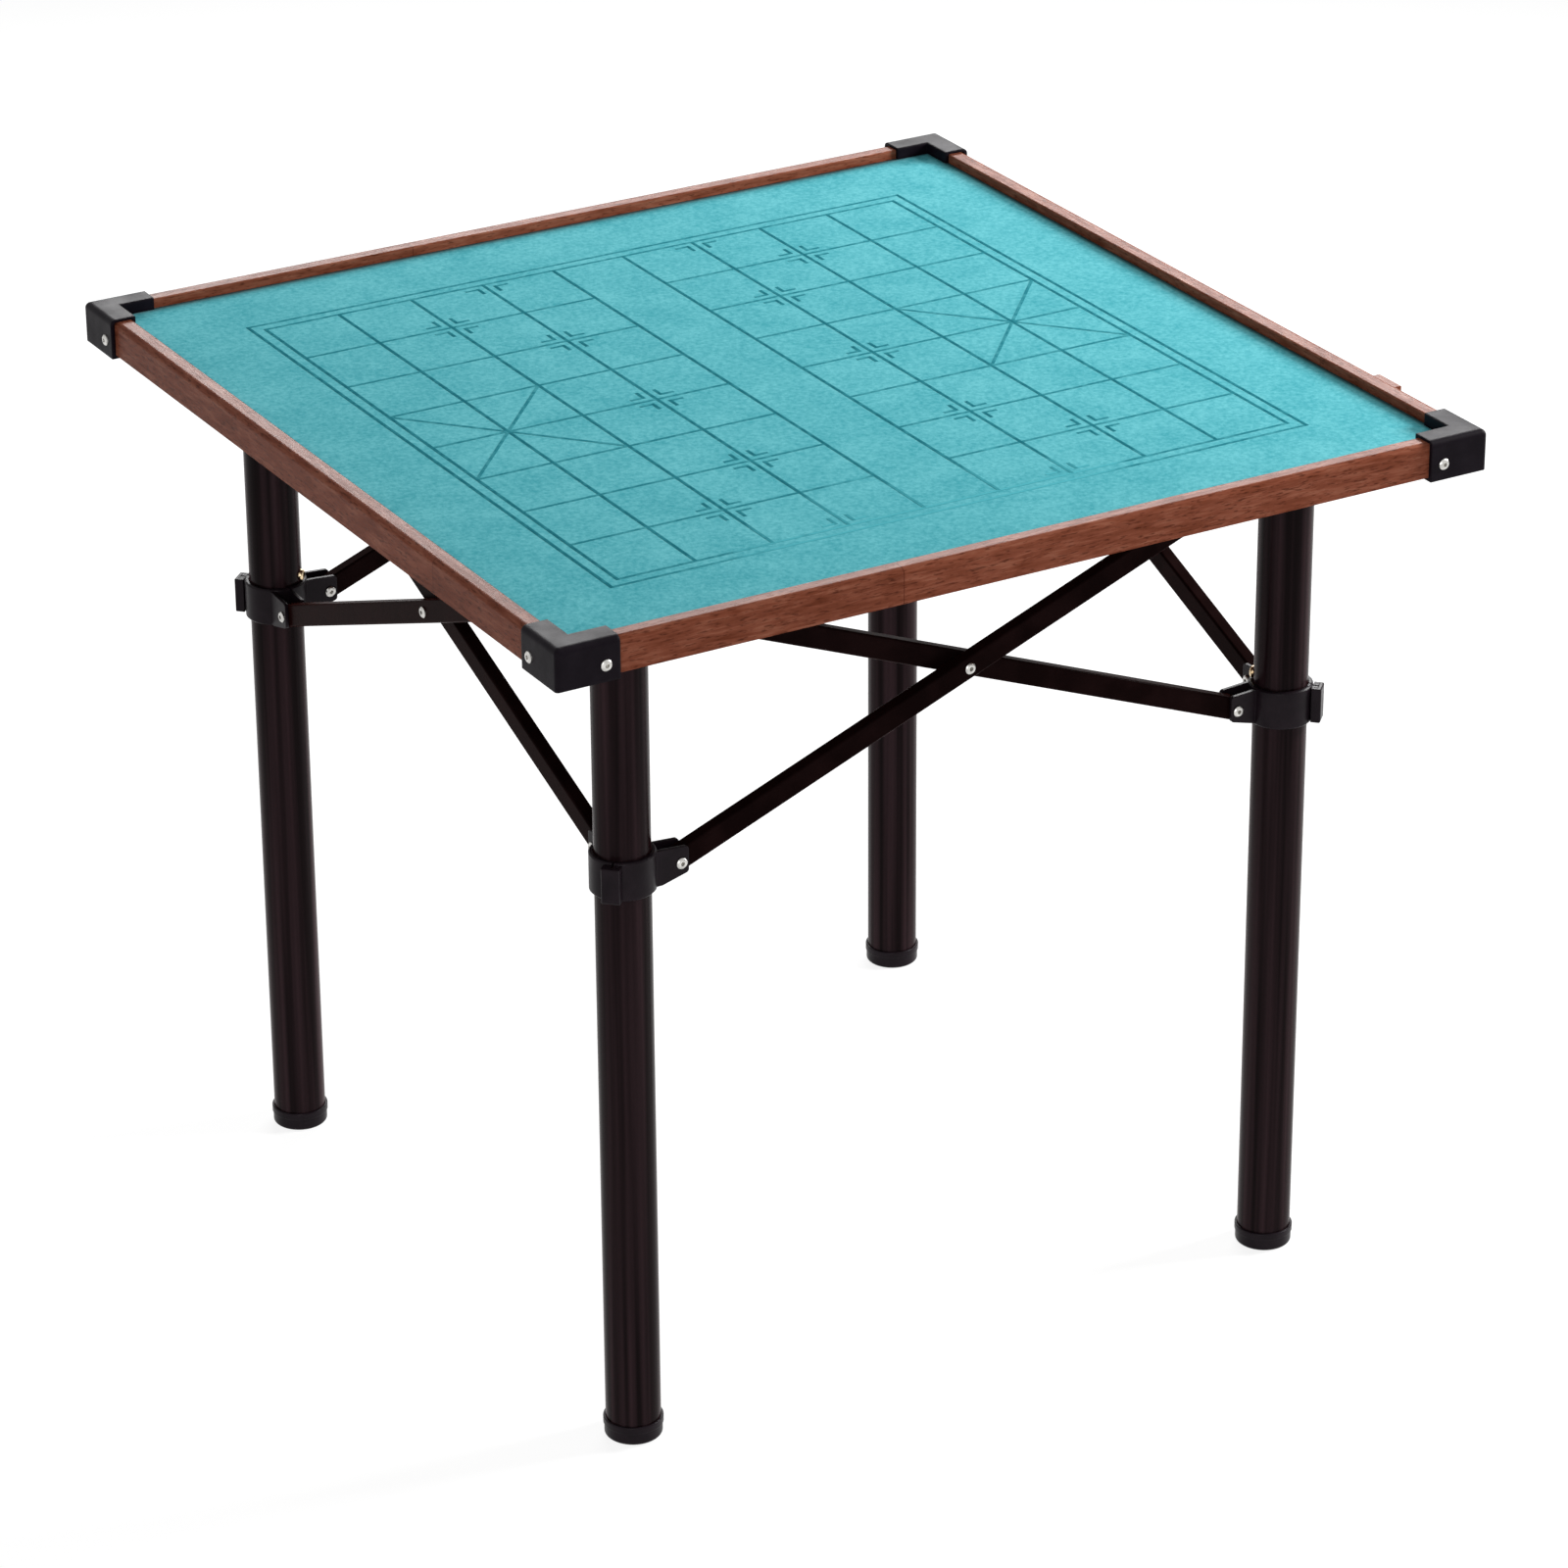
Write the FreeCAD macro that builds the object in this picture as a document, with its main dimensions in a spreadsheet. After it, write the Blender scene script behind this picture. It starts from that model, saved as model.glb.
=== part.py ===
"""Folding mahjong table: a lift-off railed top with two shallow drawers, on a scissor leg frame.

Millimetres. The origin is on the floor under the middle of the top, +Z up, +X to the right along the
front rail. Pieces that repeat at the corners or sides are made at the front left corner or on the front
side, then turned about the table's upright axis.
"""
import FreeCAD
import Part
import Sketcher
import os
import re

SIZES = (
    # Whole table
    ("table_height", 760, "floor to the top of the corner caps"),
    ("rail_span", 833, "outer face to outer face of opposite rails"),
    ("leg_inset", 109.5, "outer face of a rail in to the leg axes"),
    ("overrun", 2, "how far a cut runs past the face it leaves by"),
    # Rails
    ("rail_height", 29, "bottom to top of a rail"),
    ("rail_width", 16, "outer to inner face of a rail"),
    ("rail_round", 5, "radius of a rail's outer top edge"),
    ("rail_ease", 1.5, "radius of a rail's inner top edge"),
    ("groove_depth", 5, "depth of the groove that holds the board"),
    ("rebate_width", 6, "width of the rebate that holds the bottom panel"),
    ("fit_gap", 0.2, "clearance round a fitted edge or screw"),
    # Field of the top
    ("felt_recess", 8, "top of the rails down to the felt"),
    ("felt_thickness", 1.5, "thickness of the felt"),
    ("board_thickness", 3, "thickness of the board under the felt"),
    ("panel_thickness", 2.5, "thickness of the bottom panel"),
    ("batten_width", 18, "width of a core batten"),
    ("batten_gap", 63.5, "a drawer's runner to the nearest batten"),
    # Corner caps
    ("cap_wall", 3.5, "thickness of a cap's outer walls"),
    ("cap_lip", 3.3, "thickness of a cap's wall above the felt"),
    ("cap_rise", 2.5, "height of a cap above the rails"),
    ("cap_drop", 3, "depth of a cap below the rails"),
    ("cap_arm", 54, "length of a cap along each side"),
    ("cap_round", 5, "radius of a cap's outer top edges"),
    ("cap_corner_round", 3, "radius of a cap's upright corner"),
    ("cap_ease", 1, "radius of a cap's inner top edges"),
    ("screw_inset", 12, "end of a cap's arm to its screw"),
    ("screw_level", 13.5, "bottom of a cap to its screws"),
    ("screw_head_diameter", 9.5, "diameter of a cap screw's head"),
    ("screw_head_height", 2, "height of a cap screw's head"),
    ("screw_diameter", 4, "diameter of a cap screw's shank"),
    ("screw_length", 15, "length of a cap screw's shank"),
    # Drawers
    ("drawer_inset", 143.5, "end of a rail to the middle of its drawer"),
    ("drawer_width", 118, "outer width of a drawer's tray"),
    ("drawer_depth", 190, "length of a drawer's tray"),
    ("drawer_wall", 2, "wall of a drawer's tray"),
    ("drawer_floor", 1.5, "floor of a drawer's tray"),
    ("drawer_gap", 0.5, "clearance at each side of a tray"),
    ("drawer_lift", 0.3, "clearance under a tray, and at the least over it"),
    ("tray_height", 11.2, "outer height of a drawer's tray"),
    ("tray_round", 3, "radius of a tray's inner corners"),
    ("front_height", 22, "height of a drawer's front"),
    ("front_lap", 6, "how far a drawer's front laps past its tray"),
    ("front_thickness", 3.5, "thickness of a drawer's front"),
    ("front_drop", 3, "how far a drawer's front hangs below its tray"),
    ("front_ease", 1, "radius of a front's outer edges"),
    ("pull_length", 30, "length of a drawer's pull"),
    ("pull_height", 9, "height of a drawer's pull"),
    ("pull_depth", 12, "how far a drawer's pull stands out"),
    ("pull_top", 2, "top of a drawer's front down to its pull"),
    ("pull_round", 3, "radius of a pull's outer edges"),
    ("runner_width", 12, "width of a drawer runner's side"),
    ("runner_ledge", 6, "width of a runner's ledge under the tray"),
    ("ledge_thickness", 2, "thickness of a runner's ledge"),
    # Legs, heads and feet
    ("leg_diameter", 45, "outer diameter of a leg tube"),
    ("leg_wall", 1.5, "wall of a leg tube"),
    ("socket_gap", 0.1, "clearance of a leg tube in its head and foot"),
    ("top_gap", 0.3, "heads to the bottom panel they carry"),
    ("head_wall", 4, "wall of a leg head round its tube"),
    ("head_height", 36, "height of a leg head"),
    ("head_crown", 6, "thickness of a head over the tube's end"),
    ("head_round", 2, "radius of a head's top edge"),
    ("foot_wall", 2, "wall of a foot's rim round its tube"),
    ("foot_height", 17, "height of a foot"),
    ("foot_floor", 6, "thickness of a foot under the tube's end"),
    ("foot_rim", 6, "height of a foot's rim"),
    ("foot_step", 0.8, "step from a foot's rim in to its side"),
    ("foot_round", 3, "radius of a foot's lower edge"),
    ("rim_ease", 1, "radius of a foot's rim at its top edge"),
    # Locating blocks
    ("block_gap", 1, "clearance of a head in its locating block"),
    ("block_width", 10, "width of a locating block's arms"),
    ("block_reach", 16, "how far a block's arms run past the leg axis"),
    ("block_height", 12, "height of a locating block"),
    # Scissor bars
    ("collar_level", 507, "floor to the collars' pivots"),
    ("pivot_drop", 15.2, "top of a head to its pivots"),
    ("pivot_stand", 17, "outer face of a collar to its pivots"),
    ("bar_height", 19, "height of a bar"),
    ("bar_thickness", 12, "thickness of a bar"),
    ("bar_wall", 1.2, "wall of a bar's tube"),
    ("bar_round", 2, "radius of a bar's long edges"),
    ("layer_gap", 0.6, "clearance between two crossing bars"),
    # Forked lugs
    ("fork_plate", 3, "thickness of a lug's plates"),
    ("fork_gap", 0.3, "clearance of a bar in its fork"),
    ("lug_tip", 6.5, "pivot to the end of a lug"),
    ("lug_rise", 13.5, "pivot to the top of a collar's lug at its end"),
    ("lug_fall", 8.5, "pivot to the bottom of a lug at its end"),
    ("lug_root", 15, "pivot to the top or bottom of a collar's lug at the ring"),
    ("head_lug_rise", 9.8, "pivot to the top of a head's lug"),
    ("lug_round", 3, "radius of a lug's end corners"),
    # Rivets and stops
    ("rivet_diameter", 6, "diameter of a rivet's shank"),
    ("rivet_head_diameter", 9.5, "diameter of a rivet's heads"),
    ("rivet_head_height", 2, "height of a rivet's heads"),
    ("rivet_gap", 0.3, "clearance round a rivet and under its heads"),
    ("stop_diameter", 10, "diameter of a stop's button"),
    ("stop_height", 3.2, "height of a stop's button over the leg"),
    ("stop_round", 2.6, "radius of a stop's button"),
    ("stop_shank", 5, "diameter of a stop's shank"),
    ("stop_depth", 3, "length of a stop's shank"),
    ("stop_gap", 0.3, "a stop to the collar under it"),
    # Collars and clips
    ("collar_wall", 4, "a leg's face to the outer face of its collar"),
    ("collar_height", 33, "height of a collar's ring"),
    ("collar_gap", 0.4, "clearance of a collar on its leg"),
    ("collar_ease", 1.2, "chamfer of a collar's rims"),
    ("slit_width", 1.5, "width of the slit in a collar"),
    ("tail_neck", 7, "width of a collar's dovetail at the ring"),
    ("tail_width", 10, "width of a collar's dovetail at its end"),
    ("tail_depth", 5, "how far a collar's dovetail stands out"),
    ("tail_bury", 3, "how far a dovetail runs back into the ring"),
    ("clip_width", 15, "width of a collar's clip"),
    ("clip_depth", 8.5, "how far a clip stands out from the ring"),
    ("clip_height", 30, "height of a clip"),
    ("clip_gap", 0.3, "clearance of a clip on its dovetail and ring"),
    ("clip_round", 1.5, "radius of a clip's outer edges"),
)
NAMES = {name for name, _, _ in SIZES}
NEAR = 1e-3

# Heads of rivets and screws, from the rim to the middle: shares of the radius and of the height.
RIVET_HEAD_SHARES = ((1, 0), (0.98, 0.4), (0.78, 0.85), (0.55, 1), (0.36, 0.92), (0.32, -0.9), (0, -1))
SCREW_HEAD_SHARES = ((1, 0), (0.98, 0.45), (0.8, 0.85), (0.5, 1), (0.36, 0.96), (0.3, -0.3), (0, -0.4))

CORNERS = ("front_left", "front_right", "back_right", "back_left")
SIDES = ("front", "right", "back", "left")
DRAWER_SIDES = ("right", "back")
QUARTER = 90

RAIL_BOTTOM = "(table_height - cap_rise - rail_height)"
INNER_SPAN = "(rail_span - 2 * rail_width)"
BOARD_BASE = "(rail_height - felt_recess - felt_thickness - board_thickness)"
HEAD_TOP = f"({RAIL_BOTTOM} - top_gap)"
HEAD_PIVOT = f"({HEAD_TOP} - pivot_drop)"
LEG_REACH = "(rail_span / 2 - leg_inset)"
HEAD_DIAMETER = "(leg_diameter + 2 * head_wall)"
FOOT_RADIUS = "(leg_diameter / 2 + foot_wall)"
COLLAR_RADIUS = "(leg_diameter / 2 + collar_wall)"
PIVOT_REACH = f"({COLLAR_RADIUS} + pivot_stand)"
BAR_RUN = f"(2 * {LEG_REACH} - 2 * {PIVOT_REACH})"
BAR_DROP = f"({HEAD_PIVOT} - collar_level)"
BAR_LENGTH = f"sqrt({BAR_RUN} ^ 2 + {BAR_DROP} ^ 2)"
BAR_TILT = f"atan2({BAR_DROP}; {BAR_RUN})"
BAR_LAYER = "((layer_gap + bar_thickness) / 2)"
FORK_HALF = "(bar_thickness / 2 + fork_gap + fork_plate)"
TRAY_BASE = "(panel_thickness + ledge_thickness + drawer_lift)"
TRAY_HALF = "(drawer_width / 2)"
MOUTH_HALF = f"({TRAY_HALF} + drawer_gap)"
MOUTH_BASE = f"({TRAY_BASE} - drawer_lift)"
DRAWER_OFFSET = "(rail_span / 2 - drawer_inset)"
BATTEN_PITCH = f"({DRAWER_OFFSET} - {MOUTH_HALF} - runner_width - batten_gap - batten_width / 2)"

doc = FreeCAD.newDocument("mahjong_table")
sheet = doc.addObject("Spreadsheet::Sheet", "Sizes")
nodes = []


def fill_sheet():
    """Write each size's name, value and meaning into a row of the sheet."""
    for row, (name, value, meaning) in enumerate(SIZES, 1):
        sheet.set(f"A{row}", name)
        sheet.set(f"B{row}", str(value))
        sheet.set(f"C{row}", meaning)
        sheet.setAlias(f"B{row}", name)
    doc.recompute()


def formula(text):
    """Write each size named in a sum as its cell in the sheet."""
    return re.sub(r"[a-z_0-9]+", lambda word: f"Sizes.{word[0]}" if word[0] in NAMES else word[0], text)


def number(text):
    """The value of a sum of sizes."""
    value = sheet.evalExpression(formula(text))
    return float(getattr(value, "Value", value))


def bind(thing, field, text):
    """Tie a property to a sum of sizes."""
    thing.setExpression(field, formula(text))


def turned(angle):
    """A turn about the table's upright axis."""
    return FreeCAD.Rotation(FreeCAD.Vector(0, 0, 1), angle)


def spot(x="0", y="0", z="0", rotation=FreeCAD.Rotation()):
    """A placement at sums of sizes."""
    return FreeCAD.Placement(FreeCAD.Vector(number(x), number(y), number(z)), rotation)


def stand(piece, placement, turn=0):
    """Place a piece on the front side, then turn it round the table."""
    piece.Placement = FreeCAD.Placement(FreeCAD.Vector(), turned(turn)).multiply(placement)


def as_node(piece, name):
    """Name a piece and count it among the pieces to write."""
    piece.Label = name
    nodes.append(piece)
    return piece


def new_body(name):
    """An empty body that will be written under this name."""
    return as_node(doc.addObject("PartDesign::Body", name), name)


def sketch_on(body, name, plane, lift="0", turn=None):
    """A sketch on one of a body's own planes, lifted along its normal and turned about an axis."""
    made = body.newObject("Sketcher::SketchObject", name)
    support = next(plane_ for plane_ in body.Origin.OriginFeatures if plane_.Role == plane)
    made.AttachmentSupport = [(support, "")]
    made.MapMode = "FlatFace"
    if turn:
        made.AttachmentOffset = FreeCAD.Placement(FreeCAD.Vector(), turn)
    bind(made, "AttachmentOffset.Base.z", lift)
    return made


def hold(sketch, geometry, point, x, y):
    """Tie a point of a sketch to sums of sizes."""
    for kind, axis, text in (("DistanceX", -2, x), ("DistanceY", -1, y)):
        if text == "0":
            sketch.addConstraint(Sketcher.Constraint("PointOnObject", geometry, point, axis))
        else:
            tie = sketch.addConstraint(Sketcher.Constraint(kind, -1, 1, geometry, point, number(text)))
            bind(sketch, f"Constraints[{tie}]", text)


def outline(sketch, points):
    """Close a run of straight lines through points given as sums of sizes."""
    first = sketch.GeometryCount
    count = len(points)
    places = [FreeCAD.Vector(number(x), number(y), 0) for x, y in points]
    for index, place in enumerate(places):
        sketch.addGeometry(Part.LineSegment(place, places[(index + 1) % count]))
    for index, (x, y) in enumerate(points):
        following = first + (index + 1) % count
        sketch.addConstraint(Sketcher.Constraint("Coincident", first + index, 2, following, 1))
        hold(sketch, first + index, 1, x, y)
    return sketch


def oblong(sketch, low_x, low_y, high_x, high_y):
    """A rectangle between two corners given as sums of sizes."""
    return outline(sketch, ((low_x, low_y), (high_x, low_y), (high_x, high_y), (low_x, high_y)))


def circle(sketch, diameter, x="0", y="0"):
    """A circle of a given diameter about a place given as sums of sizes."""
    middle = FreeCAD.Vector(number(x), number(y), 0)
    ring = sketch.addGeometry(Part.Circle(middle, FreeCAD.Vector(0, 0, 1), number(diameter) / 2))
    hold(sketch, ring, 3, x, y)
    tie = sketch.addConstraint(Sketcher.Constraint("Diameter", ring, number(diameter)))
    bind(sketch, f"Constraints[{tie}]", diameter)
    return sketch


def slot(sketch, length, width):
    """A run with round ends: the first end about the origin, the other along X."""
    run = number(length)
    half = number(width) / 2
    up = FreeCAD.Vector(0, 0, 1)
    start = FreeCAD.Vector(0, 0, 0)
    end = FreeCAD.Vector(run, 0, 0)
    rise = FreeCAD.Vector(0, half, 0)
    quarter = FreeCAD.Units.parseQuantity("90 deg").getValueAs("rad").Value
    sketch.addGeometry(Part.LineSegment(start + rise, end + rise))
    sketch.addGeometry(Part.LineSegment(end - rise, start - rise))
    sketch.addGeometry(Part.ArcOfCircle(Part.Circle(end, up, half), -quarter, quarter))
    sketch.addGeometry(Part.ArcOfCircle(Part.Circle(start, up, half), quarter, 3 * quarter))
    for line, point, arc, end_point in ((0, 2, 2, 2), (1, 1, 2, 1), (1, 2, 3, 2), (0, 1, 3, 1)):
        sketch.addConstraint(Sketcher.Constraint("Tangent", line, point, arc, end_point))
    hold(sketch, 3, 3, "0", "0")
    hold(sketch, 2, 3, length, "0")
    tie = sketch.addConstraint(Sketcher.Constraint("Diameter", 3, number(width)))
    bind(sketch, f"Constraints[{tie}]", width)
    return sketch


def pad(body, name, sketch, length, both_ways=False, reverse=False):
    """Raise a sketch into a solid, along its normal."""
    made = body.newObject("PartDesign::Pad", name)
    made.Profile = sketch
    made.SideType = "Symmetric" if both_ways else "One side"
    made.Reversed = reverse
    bind(made, "Length", length)
    return made


def pocket(body, name, sketch, length=None, reverse=False):
    """Cut a sketch out of a body: right through both ways, or to a depth against its normal."""
    doc.recompute()
    before = body.Tip.Shape.Volume
    made = body.newObject("PartDesign::Pocket", name)
    made.Profile = sketch
    made.Reversed = reverse
    if length is None:
        made.Type = "ThroughAll"
        made.SideType = "Symmetric"
    else:
        bind(made, "Length", length)
    doc.recompute()
    if made.Shape.Volume >= before:
        raise ValueError(f"{body.Label}: {name} cuts nothing")
    return made


def revolve(body, name, sketch):
    """Turn a sketch's profile right round its own upright axis."""
    made = body.newObject("PartDesign::Revolution", name)
    made.Profile = sketch
    made.ReferenceAxis = (sketch, ["V_Axis"])
    made.Angle = 4 * QUARTER
    return made


def edges_at(body, x=None, y=None, z=None):
    """Names of the edges of a body that lie wholly at the places given as sums of sizes."""
    doc.recompute()
    wanted = [None if text is None else number(text) for text in (x, y, z)]
    names = []
    for index, edge in enumerate(body.Tip.Shape.Edges, 1):
        box = edge.BoundBox
        lows = (box.XMin, box.YMin, box.ZMin)
        highs = (box.XMax, box.YMax, box.ZMax)
        misses = [max(abs(low - place), abs(high - place))
                  for low, high, place in zip(lows, highs, wanted) if place is not None]
        if max(misses) < NEAR:
            names.append(f"Edge{index}")
    return names


def ease(body, name, edges, size, kind="Fillet"):
    """Round the named edges of a body, or chamfer them."""
    base = body.Tip
    made = body.newObject(f"PartDesign::{kind}", name)
    made.Base = (base, edges)
    bind(made, "Size" if kind == "Chamfer" else "Radius", size)
    return made


def group(name, pieces):
    """Separate solids that share one name."""
    made = doc.addObject("Part::Compound", name)
    made.Links = pieces
    return as_node(made, name)


def block(name, length, width, height):
    """A plain box with its sizes tied to sums of sizes."""
    made = doc.addObject("Part::Box", name)
    bind(made, "Length", length)
    bind(made, "Width", width)
    bind(made, "Height", height)
    return made


def spindle(name, points):
    """A solid turned about the Y axis from an outline of radius and height."""
    profile = outline(doc.addObject("Sketcher::SketchObject", f"{name}_profile"), points)
    made = doc.addObject("Part::Revolution", name)
    made.Source = profile
    made.Axis = FreeCAD.Vector(0, 1, 0)
    made.Angle = 4 * QUARTER
    made.Solid = True
    return made


def head_points(shares, radius, base, height):
    """The outline of a fastener's head from its rim to its middle."""
    return [(f"{radius} * {out}" if out else "0", f"{base} + {height} * {up}") for out, up in shares]


def make_rail(side, turn):
    """A wood rail: profile with groove and rebate, mitred ends and screw holes, in staves at a drawer."""
    body = doc.addObject("PartDesign::Body", f"rail_{side}_stock")
    floor = BOARD_BASE
    profile = outline(sketch_on(body, "section", "YZ_Plane"), (
        ("0", "0"),
        ("rail_width - rebate_width", "0"),
        ("rail_width - rebate_width", "panel_thickness"),
        ("rail_width", "panel_thickness"),
        ("rail_width", floor),
        ("rail_width - groove_depth", floor),
        ("rail_width - groove_depth", f"{floor} + board_thickness"),
        ("rail_width", f"{floor} + board_thickness"),
        ("rail_width", "rail_height"),
        ("0", "rail_height"),
    ))
    pad(body, "length", profile, "rail_span", both_ways=True)
    ease(body, "outer_round", edges_at(body, y="0", z="rail_height"), "rail_round")
    ease(body, "inner_ease", edges_at(body, y="rail_width", z="rail_height"), "rail_ease")
    mitres = sketch_on(body, "mitres", "XY_Plane")
    for sign in ("-", ""):
        end = f"{sign}(rail_span / 2 + overrun)"
        shoulder = f"{sign}(rail_span / 2 - rail_width - overrun)"
        far = "rail_width + overrun"
        outline(mitres, ((end, "-overrun"), (shoulder, far), (end, far)))
    pocket(body, "mitre_cuts", mitres)
    holes = sketch_on(body, "screw_spots", "XZ_Plane")
    for sign in ("-", ""):
        along = f"{sign}(rail_span / 2 + cap_wall - cap_arm + screw_inset)"
        circle(holes, "screw_diameter + 2 * fit_gap", along, "screw_level - cap_drop")
    pocket(body, "screw_holes", holes, "screw_length - cap_wall + fit_gap")
    name = f"rail_{side}"
    rail = group(name, cut_staves(body, side)) if side in DRAWER_SIDES else as_node(body, name)
    stand(rail, spot(y="-rail_span / 2", z=RAIL_BOTTOM), turn)


def cut_staves(stock, side):
    """The staves that leave a drawer's mouth: one over it, one at each end, and a thin sill under it."""
    start = f"(-{DRAWER_OFFSET} - {MOUTH_HALF})"
    end = f"({MOUTH_HALF} - {DRAWER_OFFSET})"
    half_span = "rail_span / 2"
    staves = []
    for place, low_x, high_x, low_z, high_z in (
        ("upper", f"-{half_span}", half_span, BOARD_BASE, "rail_height"),
        ("corner", f"-{half_span}", start, "0", BOARD_BASE),
        ("long", end, half_span, "0", BOARD_BASE),
        ("sill", start, end, "0", MOUTH_BASE),
    ):
        room = block(f"{side}_{place}_room", f"{high_x} - ({low_x})", "rail_width", f"{high_z} - {low_z}")
        stand(room, spot(low_x, "0", low_z))
        stave = doc.addObject("Part::Common", f"{side}_{place}_stave")
        stave.Base = stock
        stave.Tool = room
        staves.append(stave)
    return staves


def make_field():
    """The board in its groove, the felt on it, and the bottom panel in its rebate."""
    board_span = f"({INNER_SPAN} + 2 * groove_depth - 2 * fit_gap)"
    panel_span = f"({INNER_SPAN} + 2 * rebate_width - 2 * fit_gap)"
    board_level = f"({RAIL_BOTTOM} + {BOARD_BASE})"
    layers = (
        ("play_board", board_span, "board_thickness", board_level),
        ("playing_felt", INNER_SPAN, "felt_thickness", f"{board_level} + board_thickness"),
        ("bottom_panel", panel_span, "panel_thickness", RAIL_BOTTOM),
    )
    for name, span, thickness, level in layers:
        sheet_piece = as_node(block(name, span, span, thickness), name)
        stand(sheet_piece, spot(f"-{span} / 2", f"-{span} / 2", level))


def make_core():
    """Battens between panel and board, and a pair of ledged runners for each drawer."""
    core_height = f"({BOARD_BASE} - panel_thickness)"
    level = f"{RAIL_BOTTOM} + panel_thickness"
    strips = []
    for row in ("-1", "0", "1"):
        strip = block(f"batten_{len(strips)}", INNER_SPAN, "batten_width", core_height)
        stand(strip, spot(f"-{INNER_SPAN} / 2", f"{row} * {BATTEN_PITCH} - batten_width / 2", level))
        strips.append(strip)
    rear = "drawer_depth - rail_width"
    for side in DRAWER_SIDES:
        for wall, lip in ((f"(-{MOUTH_HALF} - runner_width)", "runner_width"), (MOUTH_HALF, "-runner_ledge")):
            guide = block(f"runner_{len(strips)}", "runner_width", rear, core_height)
            ledge = block(f"ledge_{len(strips)}", "runner_ledge", rear, "ledge_thickness")
            for strip, along in ((guide, wall), (ledge, f"{wall} + {lip}")):
                seat = spot(f"{along} - {DRAWER_OFFSET}", "rail_width - rail_span / 2", level)
                stand(strip, seat, SIDES.index(side) * QUARTER)
                strips.append(strip)
    group("core_battens", strips)


def make_drawer(side):
    """A shallow drawer: an open tray, a front that laps over the rail, and a pull.

    The tray's front wall is a block that fills the rail's slot, so the hollow starts behind the rail.
    """
    front_wall = "(rail_width + drawer_wall)"
    seat = spot(f"-{DRAWER_OFFSET}", "-rail_span / 2", f"{RAIL_BOTTOM} + {TRAY_BASE}")
    turn = SIDES.index(side) * QUARTER

    tray = new_body(f"drawer_{side}_tray")
    plan = oblong(sketch_on(tray, "plan", "XY_Plane"), f"-{TRAY_HALF}", "0", TRAY_HALF, "drawer_depth")
    pad(tray, "outside", plan, "tray_height")
    inside = oblong(sketch_on(tray, "inside", "XY_Plane", "drawer_floor"),
                    f"drawer_wall - {TRAY_HALF}", front_wall,
                    f"{TRAY_HALF} - drawer_wall", "drawer_depth - drawer_wall")
    pocket(tray, "hollow", inside, "tray_height", reverse=True)
    corners = []
    for along in (f"drawer_wall - {TRAY_HALF}", f"{TRAY_HALF} - drawer_wall"):
        for deep in (front_wall, "drawer_depth - drawer_wall"):
            corners += edges_at(tray, x=along, y=deep)
    ease(tray, "inner_corners", corners, "tray_round")
    stand(tray, seat, turn)

    front = new_body(f"drawer_{side}_front")
    half = f"({TRAY_HALF} + front_lap)"
    top = "(front_height - front_drop)"
    face = oblong(sketch_on(front, "face", "XZ_Plane"), f"-{half}", "-front_drop", half, top)
    pad(front, "thickness", face, "front_thickness")
    ease(front, "edges", edges_at(front, y="-front_thickness"), "front_ease")
    stand(front, seat, turn)

    pull = new_body(f"drawer_{side}_pull")
    high = f"({top} - pull_top)"
    grip = oblong(sketch_on(pull, "grip", "XZ_Plane", "front_thickness"), "-pull_length / 2",
                  f"{high} - pull_height", "pull_length / 2", high)
    pad(pull, "depth", grip, "pull_depth")
    ease(pull, "edges", edges_at(pull, y="-front_thickness - pull_depth"), "pull_round")
    stand(pull, seat, turn)


def make_cap(corner, turn):
    """A moulded cap over the mitre of two rails, open where they run in."""
    body = new_body(f"corner_cap_{corner}")
    height = "(cap_drop + rail_height + cap_rise)"
    width = "(cap_wall + rail_width + cap_lip)"
    seat = "(cap_wall + rail_width)"
    felt = "(cap_drop + rail_height - felt_recess)"
    plan = outline(sketch_on(body, "plan", "XY_Plane"), (
        ("0", "0"), ("cap_arm", "0"), ("cap_arm", width),
        (width, width), (width, "cap_arm"), ("0", "cap_arm"),
    ))
    pad(body, "height", plan, height)
    ease(body, "corner_round", edges_at(body, x="0", y="0"), "cap_corner_round")
    outer = edges_at(body, y="0", z=height) + edges_at(body, x="0", z=height)
    ease(body, "top_round", outer, "cap_round")
    inner = edges_at(body, y=width, z=height) + edges_at(body, x=width, z=height)
    ease(body, "inner_ease", inner, "cap_ease")
    past = "(cap_arm + overrun)"
    run = outline(sketch_on(body, "rail_run", "XY_Plane", "cap_drop"), (
        ("cap_wall", "cap_wall"), (past, "cap_wall"), (past, seat),
        (seat, seat), (seat, past), ("cap_wall", past),
    ))
    pocket(body, "rail_channel", run, "rail_height", reverse=True)
    field = oblong(sketch_on(body, "field", "XY_Plane", "-overrun"), seat, seat, past, past)
    pocket(body, "field_step", field, f"{felt} + overrun", reverse=True)
    for plane, reverse in (("XZ_Plane", False), ("YZ_Plane", True)):
        hole = circle(sketch_on(body, f"screw_spot_{plane}", plane), "screw_diameter + 2 * fit_gap",
                      "cap_arm - screw_inset", "screw_level")
        pocket(body, f"screw_hole_{plane}", hole, "cap_wall + overrun", reverse=reverse)
    outside = "-rail_span / 2 - cap_wall"
    stand(body, spot(outside, outside, f"{RAIL_BOTTOM} - cap_drop"), turn)


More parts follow.
